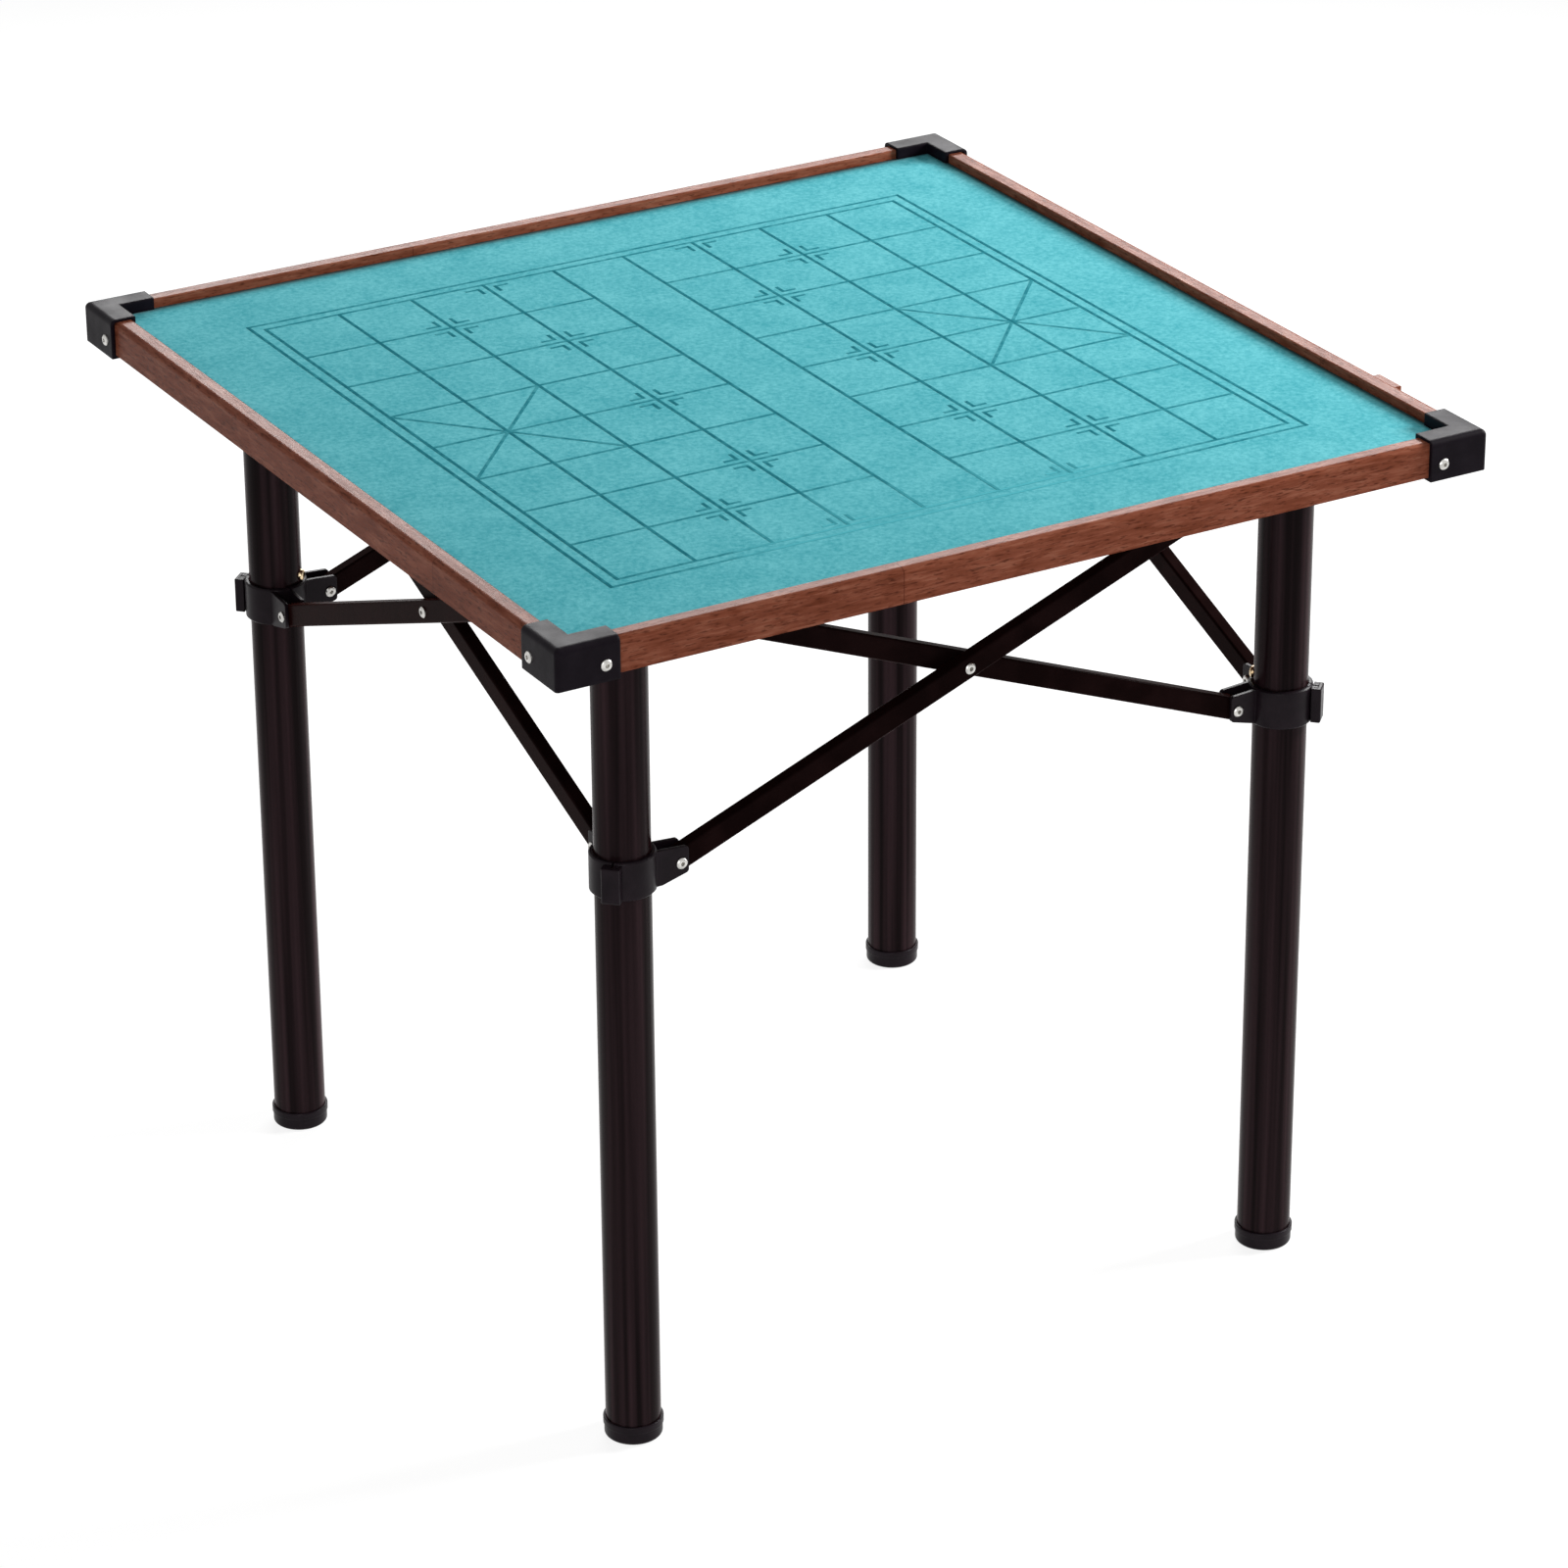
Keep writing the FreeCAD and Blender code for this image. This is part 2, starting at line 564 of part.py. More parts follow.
def make_cap_screws():
    """A pan-head screw in each outer face of each cap."""
    screws = []
    outside = "(-rail_span / 2 - cap_wall)"
    along = f"{outside} + cap_arm - screw_inset"
    level = f"{RAIL_BOTTOM} - cap_drop + screw_level"
    head = head_points(SCREW_HEAD_SHARES, "screw_head_diameter / 2", "0", "-screw_head_height")
    shank = [("0", "screw_length"), ("screw_diameter / 2", "screw_length"), ("screw_diameter / 2", "0")]
    for index in range(len(CORNERS)):
        for x, y, lean in ((along, outside, 0), (outside, along, -QUARTER)):
            screw = spindle(f"cap_screw_{len(screws)}", shank + head)
            stand(screw, spot(x, y, level, turned(lean)), index * QUARTER)
            screws.append(screw)
    group("cap_screws", screws)


def make_locating_blocks():
    """Pairs of strips under the bottom panel, on the outer sides of the heads."""
    strips = []
    near = f"({HEAD_DIAMETER} / 2 + block_gap)"
    far = f"({near} + block_width)"
    level = f"{RAIL_BOTTOM} - block_height"
    for index in range(len(CORNERS)):
        name = f"locating_block_{index}"
        along = block(f"{name}_long", f"{far} + block_reach", "block_width", "block_height")
        across = block(f"{name}_return", "block_width", f"{near} + block_reach", "block_height")
        for strip, back in ((along, far), (across, near)):
            stand(strip, spot(f"-{LEG_REACH} - {far}", f"-{LEG_REACH} - {back}", level), index * QUARTER)
            strips.append(strip)
    group("locating_blocks", strips)


def add_lugs(body, layer, rise, root_rise, root_fall):
    """Two forked lugs at a right angle, each with a pair of plates that take a bar between them.

    The bars of a side run in two layers, one each side of the plane through the leg axes. The layer is 1
    for the plates along the sketch's normal from that plane, and -1 for those against it.
    """
    gap_edge = "(layer_gap / 2 - fork_gap)"
    far_edge = "(layer_gap / 2 + bar_thickness + fork_gap)"
    lifts = (f"{gap_edge} - fork_plate", far_edge)
    if layer < 0:
        lifts = (f"-{gap_edge}", f"-{far_edge} - fork_plate")
    tip = f"({PIVOT_REACH} + lug_tip)"
    shoulder = COLLAR_RADIUS
    for plane in ("XZ_Plane", "YZ_Plane"):
        for index, lift in enumerate(lifts):
            name = f"plate_{plane[:2]}_{index}"
            plate = outline(sketch_on(body, f"{name}_shape", plane, lift), (
                ("0", f"-{root_fall}"), (shoulder, f"-{root_fall}"), (tip, "-lug_fall"),
                (tip, rise), (shoulder, root_rise), ("0", root_rise),
            ))
            pad(body, name, plate, "fork_plate")
        ends = []
        for level in ("-lug_fall", rise):
            place = {"x" if plane == "XZ_Plane" else "y": tip}
            ends += edges_at(body, z=level, **place)
        ease(body, f"ends_{plane[:2]}", ends, "lug_round")


def bore_lugs(body):
    """Rivet holes through both forks."""
    for plane in ("XZ_Plane", "YZ_Plane"):
        hole = sketch_on(body, f"pivot_{plane[:2]}", plane)
        circle(hole, "rivet_diameter + 2 * rivet_gap", PIVOT_REACH)
        pocket(body, f"pivot_hole_{plane[:2]}", hole)


def make_leg(corner, turn):
    """A round tube with a hole for its stop, its moulded head, its foot and the stop itself."""
    base = spot(f"-{LEG_REACH}", f"-{LEG_REACH}")
    diagonal = FreeCAD.Rotation(FreeCAD.Vector(0, 1, 0), -QUARTER / 2)
    stop_level = "(collar_level + collar_height / 2 + stop_gap + stop_diameter / 2)"

    tube = new_body(f"leg_{corner}")
    ring = sketch_on(tube, "ring", "XY_Plane", "foot_floor")
    circle(ring, "leg_diameter")
    circle(ring, "leg_diameter - 2 * leg_wall")
    pad(tube, "length", ring, f"{HEAD_TOP} - head_crown - foot_floor")
    hole = sketch_on(tube, "stop_spot", "XZ_Plane", "0", diagonal)
    circle(hole, "stop_shank + 2 * fit_gap", "0", stop_level)
    pocket(tube, "stop_hole", hole, "leg_diameter")
    stand(tube, base, turn)

    head = new_body(f"leg_head_{corner}")
    disc = circle(sketch_on(head, "disc", "XY_Plane", "pivot_drop - head_height"), HEAD_DIAMETER)
    pad(head, "height", disc, "head_height")
    ease(head, "top_round", edges_at(head, z="pivot_drop"), "head_round")
    add_lugs(head, -1, "head_lug_rise", "head_lug_rise", "lug_root")
    socket = sketch_on(head, "socket", "XY_Plane", "pivot_drop - head_crown")
    circle(socket, "leg_diameter + 2 * socket_gap")
    pocket(head, "tube_socket", socket, "head_height")
    bore_lugs(head)
    stand(head, spot(f"-{LEG_REACH}", f"-{LEG_REACH}", HEAD_PIVOT), turn)

    foot = new_body(f"foot_{corner}")
    side = f"({FOOT_RADIUS} - foot_step)"
    rim = "(foot_height - foot_rim)"
    inside = "(leg_diameter / 2 + socket_gap)"
    profile = outline(sketch_on(foot, "profile", "XZ_Plane"), (
        ("0", "0"), (side, "0"), (side, rim), (FOOT_RADIUS, rim),
        (FOOT_RADIUS, "foot_height"), (inside, "foot_height"),
        (inside, "foot_floor"), ("0", "foot_floor"),
    ))
    revolve(foot, "cup", profile)
    ease(foot, "lower_round", edges_at(foot, z="0"), "foot_round")
    rims = [name for name in edges_at(foot, z="foot_height")
            if foot.Tip.Shape.getElement(name).BoundBox.XMax > number(FOOT_RADIUS) - NEAR]
    ease(foot, "rim_round", rims, "rim_ease")
    stand(foot, base, turn)

    stop = new_body(f"stop_{corner}")
    button = outline(sketch_on(stop, "profile", "XZ_Plane"), (
        ("0", "-stop_depth"), ("stop_shank / 2", "-stop_depth"), ("stop_shank / 2", "0"),
        ("stop_diameter / 2", "0"), ("stop_diameter / 2", "stop_height"), ("0", "stop_height"),
    ))
    revolve(stop, "button", button)
    ease(stop, "dome", edges_at(stop, z="stop_height"), "stop_round")
    outward = FreeCAD.Rotation(FreeCAD.Vector(-1, 1, 0), QUARTER)
    on_leg = FreeCAD.Placement(outward.multVec(FreeCAD.Vector(0, 0, number("leg_diameter / 2"))), outward)
    stand(stop, spot(f"-{LEG_REACH}", f"-{LEG_REACH}", stop_level).multiply(on_leg), turn)


def make_collar(corner, turn):
    """A split ring that slides on the leg, with two forked lugs, and the clip on its dovetail."""
    outward = turned(2 * QUARTER + QUARTER / 2)
    radius = COLLAR_RADIUS
    lower = "-collar_height / 2"

    ring = new_body(f"collar_{corner}")
    disc = circle(sketch_on(ring, "disc", "XY_Plane", lower), f"2 * {COLLAR_RADIUS}")
    pad(ring, "height", disc, "collar_height")
    rims = edges_at(ring, z=lower) + edges_at(ring, z="collar_height / 2")
    ease(ring, "rims", rims, "collar_ease", "Chamfer")
    add_lugs(ring, 1, "lug_rise", "lug_root", "lug_root")
    tail = outline(sketch_on(ring, "tail", "XY_Plane", "-clip_height / 2", outward), (
        (f"{radius} - tail_bury", "-tail_neck / 2"), (radius, "-tail_neck / 2"),
        (f"{radius} + tail_depth", "-tail_width / 2"), (f"{radius} + tail_depth", "tail_width / 2"),
        (radius, "tail_neck / 2"), (f"{radius} - tail_bury", "tail_neck / 2"),
    ))
    pad(ring, "dovetail", tail, "clip_height")
    bore = circle(sketch_on(ring, "bore", "XY_Plane"), "leg_diameter + 2 * collar_gap")
    pocket(ring, "leg_bore", bore)
    slit = oblong(sketch_on(ring, "slit", "XY_Plane", "0", outward), "leg_diameter / 4", "-slit_width / 2",
                  f"{radius} + tail_depth + overrun", "slit_width / 2")
    pocket(ring, "split", slit)
    bore_lugs(ring)
    seat = spot(f"-{LEG_REACH}", f"-{LEG_REACH}", "collar_level")
    stand(ring, seat, turn)

    clip = new_body(f"collar_clip_{corner}")
    inner = f"({radius} + clip_gap)"
    outer = f"({radius} + clip_depth)"
    deep = f"({radius} + tail_depth + clip_gap)"
    neck = "(tail_neck / 2 + clip_gap)"
    wide = "(tail_width / 2 + clip_gap)"
    half = "clip_width / 2"
    channel = outline(sketch_on(clip, "channel", "XY_Plane", "-clip_height / 2"), (
        (inner, f"-{half}"), (outer, f"-{half}"), (outer, half), (inner, half),
        (inner, neck), (deep, wide), (deep, f"-{wide}"), (inner, f"-{neck}"),
    ))
    pad(clip, "height", channel, "clip_height")
    ease(clip, "edges", edges_at(clip, x=outer), "clip_round")
    stand(clip, seat.multiply(FreeCAD.Placement(FreeCAD.Vector(), outward)), turn)


def make_rivet(name, length, x, y):
    """A tubular rivet across a bar, at a place along it, with its middle this far from the bar's own."""
    half = f"({length} / 2)"
    head = head_points(RIVET_HEAD_SHARES, "rivet_head_diameter / 2", half, "rivet_head_height")
    foot = [(out, f"-({up})") for out, up in reversed(head)]
    shank = [("rivet_diameter / 2", f"-{half}"), ("rivet_diameter / 2", half)]
    rivet = spindle(name, shank + head + foot)
    stand(rivet, spot(x, y))
    return rivet


def make_bar(side, layer, turn):
    """One flat tube of a crossing pair, from a head down to the opposite collar, with its rivets."""
    body = new_body(f"bar_{side}_{layer}")
    run = slot(sketch_on(body, "run", "XZ_Plane"), BAR_LENGTH, "bar_height")
    pad(body, "thickness", run, "bar_thickness", both_ways=True)
    faces = edges_at(body, y="bar_thickness / 2") + edges_at(body, y="-bar_thickness / 2")
    ease(body, "edges", faces, "bar_round")
    bore = oblong(sketch_on(body, "bore", "YZ_Plane"),
                  "bar_wall - bar_thickness / 2", "bar_wall - bar_height / 2",
                  "bar_thickness / 2 - bar_wall", "bar_height / 2 - bar_wall")
    pocket(body, "hollow", bore)
    pivots = sketch_on(body, "pivots", "XZ_Plane")
    for share in ("0", f"{BAR_LENGTH} / 2", BAR_LENGTH):
        circle(pivots, "rivet_diameter + 2 * rivet_gap", share)
    pocket(body, "pivot_holes", pivots)

    through_fork = f"(2 * {FORK_HALF} + 2 * rivet_gap)"
    rivets = [make_rivet(f"rivet_{side}_{layer}_head", through_fork, "0", "0"),
              make_rivet(f"rivet_{side}_{layer}_collar", through_fork, BAR_LENGTH, "0")]
    if layer == "outer":
        through_pair = "(2 * bar_thickness + layer_gap + 2 * rivet_gap)"
        crossing = f"{BAR_LENGTH} / 2"
        rivets.append(make_rivet(f"rivet_{side}_crossing", through_pair, crossing, f"-{BAR_LAYER}"))
    rivets = group(f"rivets_{side}_{layer}", rivets)

    tilt = FreeCAD.Rotation(FreeCAD.Vector(0, 1, 0), number(BAR_TILT))
    head_x = f"({LEG_REACH} - {PIVOT_REACH})"
    seat = spot(f"-{head_x}", f"{BAR_LAYER} - {LEG_REACH}", HEAD_PIVOT, tilt)
    if layer == "outer":
        about = turned(2 * QUARTER).multiply(tilt)
        seat = spot(head_x, f"-{BAR_LAYER} - {LEG_REACH}", HEAD_PIVOT, about)
    for piece in (body, rivets):
        stand(piece, seat, turn)


def check_document():
    """Stop if any object failed, or any piece to be written is empty or not valid."""
    doc.recompute()
    failed = [thing.Name for thing in doc.Objects if {"Invalid", "Error"} & set(thing.State)]
    if failed:
        raise ValueError(f"objects that failed: {failed}")
    for node in nodes:
        if node.Shape.isNull() or not node.Shape.isValid() or not node.Shape.Solids:
            raise ValueError(f"{node.Label} has no valid solid")


def write_parts():
    """Write each piece to its own file."""
    os.makedirs("parts", exist_ok=True)
    for node in nodes:
        node.Shape.exportStep(os.path.join("parts", f"{node.Label}.step"))


fill_sheet()
make_field()
make_core()
make_cap_screws()
make_locating_blocks()
for side_name in DRAWER_SIDES:
    make_drawer(side_name)
for position, (corner_name, side_name) in enumerate(zip(CORNERS, SIDES)):
    make_rail(side_name, position * QUARTER)
    make_cap(corner_name, position * QUARTER)
    make_leg(corner_name, position * QUARTER)
    make_collar(corner_name, position * QUARTER)
    make_bar(side_name, "outer", position * QUARTER)
    make_bar(side_name, "inner", position * QUARTER)
check_document()
write_parts()
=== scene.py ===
"""Dresses the folding game table: felt, walnut rails, moulded corners, drawers and scissor legs.

Everything is in metres in the table's own frame: +Z up, the origin on the floor under its middle.
"""

import logging
import math
from dataclasses import dataclass
from enum import Enum
from itertools import product
from typing import Any, Optional, Sequence

import bmesh
import bpy
from mathutils import Matrix, Vector, noise
from mathutils.geometry import delaunay_2d_cdt


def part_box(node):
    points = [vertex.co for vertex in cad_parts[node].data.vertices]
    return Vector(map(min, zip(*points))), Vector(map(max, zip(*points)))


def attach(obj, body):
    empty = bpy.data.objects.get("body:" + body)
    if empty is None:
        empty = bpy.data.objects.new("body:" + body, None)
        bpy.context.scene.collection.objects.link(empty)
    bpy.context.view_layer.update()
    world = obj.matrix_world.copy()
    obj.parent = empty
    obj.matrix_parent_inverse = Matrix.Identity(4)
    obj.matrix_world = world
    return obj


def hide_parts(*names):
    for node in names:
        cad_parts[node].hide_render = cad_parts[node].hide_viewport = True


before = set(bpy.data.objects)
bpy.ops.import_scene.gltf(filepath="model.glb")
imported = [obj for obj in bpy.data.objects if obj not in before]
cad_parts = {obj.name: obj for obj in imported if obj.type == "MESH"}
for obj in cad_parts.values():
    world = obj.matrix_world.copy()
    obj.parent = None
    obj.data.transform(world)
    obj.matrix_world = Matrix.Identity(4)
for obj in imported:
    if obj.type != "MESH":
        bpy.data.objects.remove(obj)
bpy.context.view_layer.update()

MM = 0.001
CORNERS = ("front_left", "front_right", "back_right", "back_left")
LAYERS = ("outer", "inner")
# Nearly all the values of a noise pattern lie between these two.
NOISE_LOW, NOISE_HIGH = 0.3, 0.7
# The triangulation's way of keeping only what lies inside the printed strips.
INSIDE_ONLY = 1

# A printed line: x and y of its start, then of its end, in mm.
Line = tuple[float, float, float, float]

log = logging.getLogger("game_table")


def linear(colour: str) -> tuple[float, float, float, float]:
    """Turns an sRGB hex colour into the linear values that shaders take.

    Args:
        colour: The colour as "#RRGGBB".

    Returns:
        Linear red, green and blue, and an alpha of 1.
    """
    channels = [int(colour[place:place + 2], 16) / 255 for place in (1, 3, 5)]
    lit = [c / 12.92 if c <= 0.04045 else ((c + 0.055) / 1.055) ** 2.4 for c in channels]
    return lit[0], lit[1], lit[2], 1.0


def per_metre(size_mm: float) -> float:
    """The scale of a pattern with features of this size, as features in a metre."""
    return 1 / (size_mm * MM)


def add(tree: bpy.types.NodeTree, kind: str, inputs: Optional[dict[Any, Any]] = None,
        stops: Sequence[tuple[float, str]] = (), **settings: Any) -> bpy.types.Node:
    """Adds one node with its settings and links.

    Args:
        tree: The node tree that gets the node.
        kind: The node's type name.
        inputs: A socket to link or a value to set, by the input's identifier, name or index.
        stops: Places and hex colours along the node's colour ramp, where it has one.
        settings: The node's own properties.

    Returns:
        The new node.
    """
    node = tree.nodes.new(kind)
    for key, value in settings.items():
        setattr(node, key, value)
    for key, value in (inputs or {}).items():
        named = [s for s in node.inputs if s.identifier == key]
        socket = named[0] if named else node.inputs[key]
        if isinstance(value, bpy.types.NodeSocket):
            tree.links.new(value, socket)
        else:
            socket.default_value = value
    for order, (place, colour) in enumerate(stops):
        elements = node.color_ramp.elements
        element = elements[order] if order < len(elements) else elements.new(place)
        element.position = place
        element.color = linear(colour)
    return node


def shown(tree: bpy.types.NodeTree) -> bpy.types.NodeSocket:
    """Adds a factor that parts what is looked at from what only lights the table.

    Args:
        tree: The node tree of the floor's paper or of the world.

    Returns:
        A socket that is 1 where it is seen straight, mirrored or through glass, and otherwise 0.
    """
    path = add(tree, "ShaderNodeLightPath")
    seen = add(tree, "ShaderNodeMath", {
        0: path.outputs["Is Camera Ray"], 1: path.outputs["Is Glossy Ray"]}, operation="MAXIMUM")
    through = add(tree, "ShaderNodeMath", {
        0: seen.outputs[0], 1: path.outputs["Is Transmission Ray"]}, operation="MAXIMUM")
    return through.outputs[0]


class Grain(Enum):
    """Which way a length of wood was cut from the board, so which way its grain runs."""

    ALONG_X = 0
    ALONG_Y = 1


class Side(Enum):
    """A side of the table, as the CAD nodes name it."""

    FRONT = "front"
    RIGHT = "right"
    BACK = "back"
    LEFT = "left"

    @property
    def grain(self) -> Grain:
        """The grain of wood that runs along this side."""
        return Grain.ALONG_X if self in (Side.FRONT, Side.BACK) else Grain.ALONG_Y


@dataclass(frozen=True)
class Finish:
    """A real material, made once and shared by every piece that has it.

    Among its values, a size ends in mm, a share is a part of 1, a span gives values of a noise
    pattern with a change between them, and a swing is added to the roughness across the pattern.
    """

    name: str

    def make(self) -> bpy.types.Material:
        """Gives the material, drawing its nodes the first time.

        Returns:
            The material of this finish.
        """
        made = bpy.data.materials.get(self.name)
        if made is None:
            made = bpy.data.materials.new(self.name)
            made.use_nodes = True
            made.node_tree.nodes.clear()
            surface = self.draw(made.node_tree)
            add(made.node_tree, "ShaderNodeOutputMaterial", {"Surface": surface})
        return made

    def draw(self, tree: bpy.types.NodeTree) -> bpy.types.NodeSocket:
        """Adds the finish's nodes.

        Args:
            tree: The material's empty node tree.

        Returns:
            The finished surface.
        """
        raise NotImplementedError


@dataclass(frozen=True)
class WoolFelt(Finish):
    """Pressed felt: short matted fibres, so no gloss, a soft sheen and a faintly cloudy colour."""

    deep: str = "#3CA4B0"
    pale: str = "#69C4CD"
    tint_span: tuple[float, float] = (0.33, 0.65)
    # The colour, strength and width of the painted shade along the rails, where their shadow falls
    # on the felt.
    painted_shade: str = "#0D3238"
    painted_shade_share: float = 0.9
    half_mm: float = 400.5
    painted_shade_mm: float = 7.0
    clump_mm: float = 4.0
    cloud_mm: float = 46.0
    cloud_share: float = 0.3
    fibre_mm: float = 1.6
    nap_depth_mm: float = 0.4
    nap_strength: float = 0.35
    roughness: float = 0.95
    specular: float = 0.03
    sheen: float = 0.04
    sheen_roughness: float = 0.5

    def paint_rail_shade(self, tree: bpy.types.NodeTree,
                   spot: bpy.types.NodeSocket) -> bpy.types.NodeSocket:
        """Adds painted shade: a dark band on the felt along the rails, where their shadow falls.

        Args:
            tree: The material's node tree.
            spot: The place on the felt.

        Returns:
            The share of the painted shade.
        """
        axes = add(tree, "ShaderNodeSeparateXYZ", {"Vector": spot})
        across = [add(tree, "ShaderNodeMath", {0: axes.outputs[n]}, operation="ABSOLUTE")
                  for n in (0, 1)]
        edge = add(tree, "ShaderNodeMath", {0: across[0].outputs[0], 1: across[1].outputs[0]},
                   operation="MAXIMUM")
        shade = add(tree, "ShaderNodeMapRange", {
            "Value": edge.outputs[0], "From Min": (self.half_mm - self.painted_shade_mm) * MM,
            "From Max": self.half_mm * MM, "To Max": self.painted_shade_share},
            interpolation_type="SMOOTHSTEP")
        return shade.outputs["Result"]

    def draw(self, tree: bpy.types.NodeTree) -> bpy.types.NodeSocket:
        """Adds the nap's clumps over wide clouds of colour, with painted shade along the rails.

        Args:
            tree: The material's empty node tree.

        Returns:
            The finished surface.
        """
        spot = add(tree, "ShaderNodeTexCoord").outputs["Object"]
        clumps = add(tree, "ShaderNodeTexNoise", {
            "Vector": spot, "Scale": per_metre(self.clump_mm), "Detail": 3.0, "Roughness": 0.6})
        clouds = add(tree, "ShaderNodeTexNoise", {
            "Vector": spot, "Scale": per_metre(self.cloud_mm), "Detail": 2.0})
        # Fibres are finer than a pixel, so they are drawn at the spacing that still shows.
        fibres = add(tree, "ShaderNodeTexNoise", {
            "Vector": spot, "Scale": per_metre(self.fibre_mm), "Detail": 2.0})
        blend = add(tree, "ShaderNodeMix", {
            "Factor_Float": self.cloud_share, "A_Float": clumps.outputs["Fac"],
            "B_Float": clouds.outputs["Fac"]})
        tint = add(tree, "ShaderNodeValToRGB", {"Fac": blend.outputs["Result"]},
                   stops=tuple(zip(self.tint_span, (self.deep, self.pale))))
        # Painted shade: the felt is darkened in a band along the rails, standing in for their
        # shadow on it.
        rail_shaded = add(tree, "ShaderNodeMix", {
            "Factor_Float": self.paint_rail_shade(tree, spot), "A_Color": tint.outputs["Color"],
            "B_Color": linear(self.painted_shade)}, data_type="RGBA")
        nap = add(tree, "ShaderNodeBump", {
            "Height": fibres.outputs["Fac"], "Strength": self.nap_strength,
            "Distance": self.nap_depth_mm * MM})
        shader = add(tree, "ShaderNodeBsdfPrincipled", {
            "Base Color": rail_shaded.outputs[2], "Roughness": self.roughness,
            "Specular IOR Level": self.specular, "Sheen Weight": self.sheen,
            "Sheen Roughness": self.sheen_roughness, "Normal": nap.outputs["Normal"]})
        return shader.outputs["BSDF"]


@dataclass(frozen=True)
class ScreenInk(Finish):
    """Ink screened into felt: matt, worn where the nap stands through it and where arms rub."""

    ink: str
    worn: str
    rub_share: float
    bare: str = "#53B5C0"
    patch_mm: float = 9.0
    worn_span: tuple[float, float] = (0.42, 0.7)
    rub_at_mm: tuple[float, float] = (-20.0, -335.0)
    rub_mm: tuple[float, float] = (215.0, 105.0)
    rub_edge: tuple[float, float] = (1.2, 1.55)
    ragged_mm: float = 24.0
    roughness: float = 0.95
    specular: float = 0.02

    def rub(self, tree: bpy.types.NodeTree, spot: bpy.types.NodeSocket) -> bpy.types.NodeSocket:
        """Adds the rubbed oval, one unit from its middle to its edge, with a ragged outline.

        The noise that makes it ragged adds about half a unit, which rub_edge allows for.

        Args:
            tree: The material's node tree.
            spot: The place on the felt.

        Returns:
            The share of the ink that is gone.
        """
        place = [-at / size for at, size in zip(self.rub_at_mm, self.rub_mm)]
        scale = [per_metre(size) for size in self.rub_mm]
        oval = add(tree, "ShaderNodeMapping", {
            "Vector": spot, "Location": (*place, 0), "Scale": (*scale, 0)})
        away = add(tree, "ShaderNodeVectorMath", {0: oval.outputs[0]}, operation="LENGTH")
        ragged = add(tree, "ShaderNodeTexNoise", {
            "Vector": spot, "Scale": per_metre(self.ragged_mm), "Detail": 2.0})
        reach = add(tree, "ShaderNodeMath", {0: away.outputs["Value"], 1: ragged.outputs["Fac"]},
                    operation="ADD")
        rubbed = add(tree, "ShaderNodeMapRange", {
            "Value": reach.outputs[0], "From Min": self.rub_edge[0], "From Max": self.rub_edge[1],
            "To Min": self.rub_share, "To Max": 0.0}, interpolation_type="SMOOTHSTEP")
        return rubbed.outputs["Result"]

    def draw(self, tree: bpy.types.NodeTree) -> bpy.types.NodeSocket:
        """Adds dark ink, thinner in patches and rubbed faint at the middle of the front edge.

        Args:
            tree: The material's empty node tree.

        Returns:
            The finished surface.
        """
        spot = add(tree, "ShaderNodeTexCoord").outputs["Object"]
        patches = add(tree, "ShaderNodeTexNoise", {
            "Vector": spot, "Scale": per_metre(self.patch_mm), "Detail": 4.0, "Roughness": 0.65})
        tint = add(tree, "ShaderNodeValToRGB", {"Fac": patches.outputs["Fac"]},
                   stops=tuple(zip(self.worn_span, (self.ink, self.worn))))
        faded = add(tree, "ShaderNodeMix", {
            "Factor_Float": self.rub(tree, spot), "A_Color": tint.outputs["Color"],
            "B_Color": linear(self.bare)}, data_type="RGBA")
        shader = add(tree, "ShaderNodeBsdfPrincipled", {
            "Base Color": faded.outputs[2], "Roughness": self.roughness,
            "Specular IOR Level": self.specular})
        return shader.outputs["BSDF"]


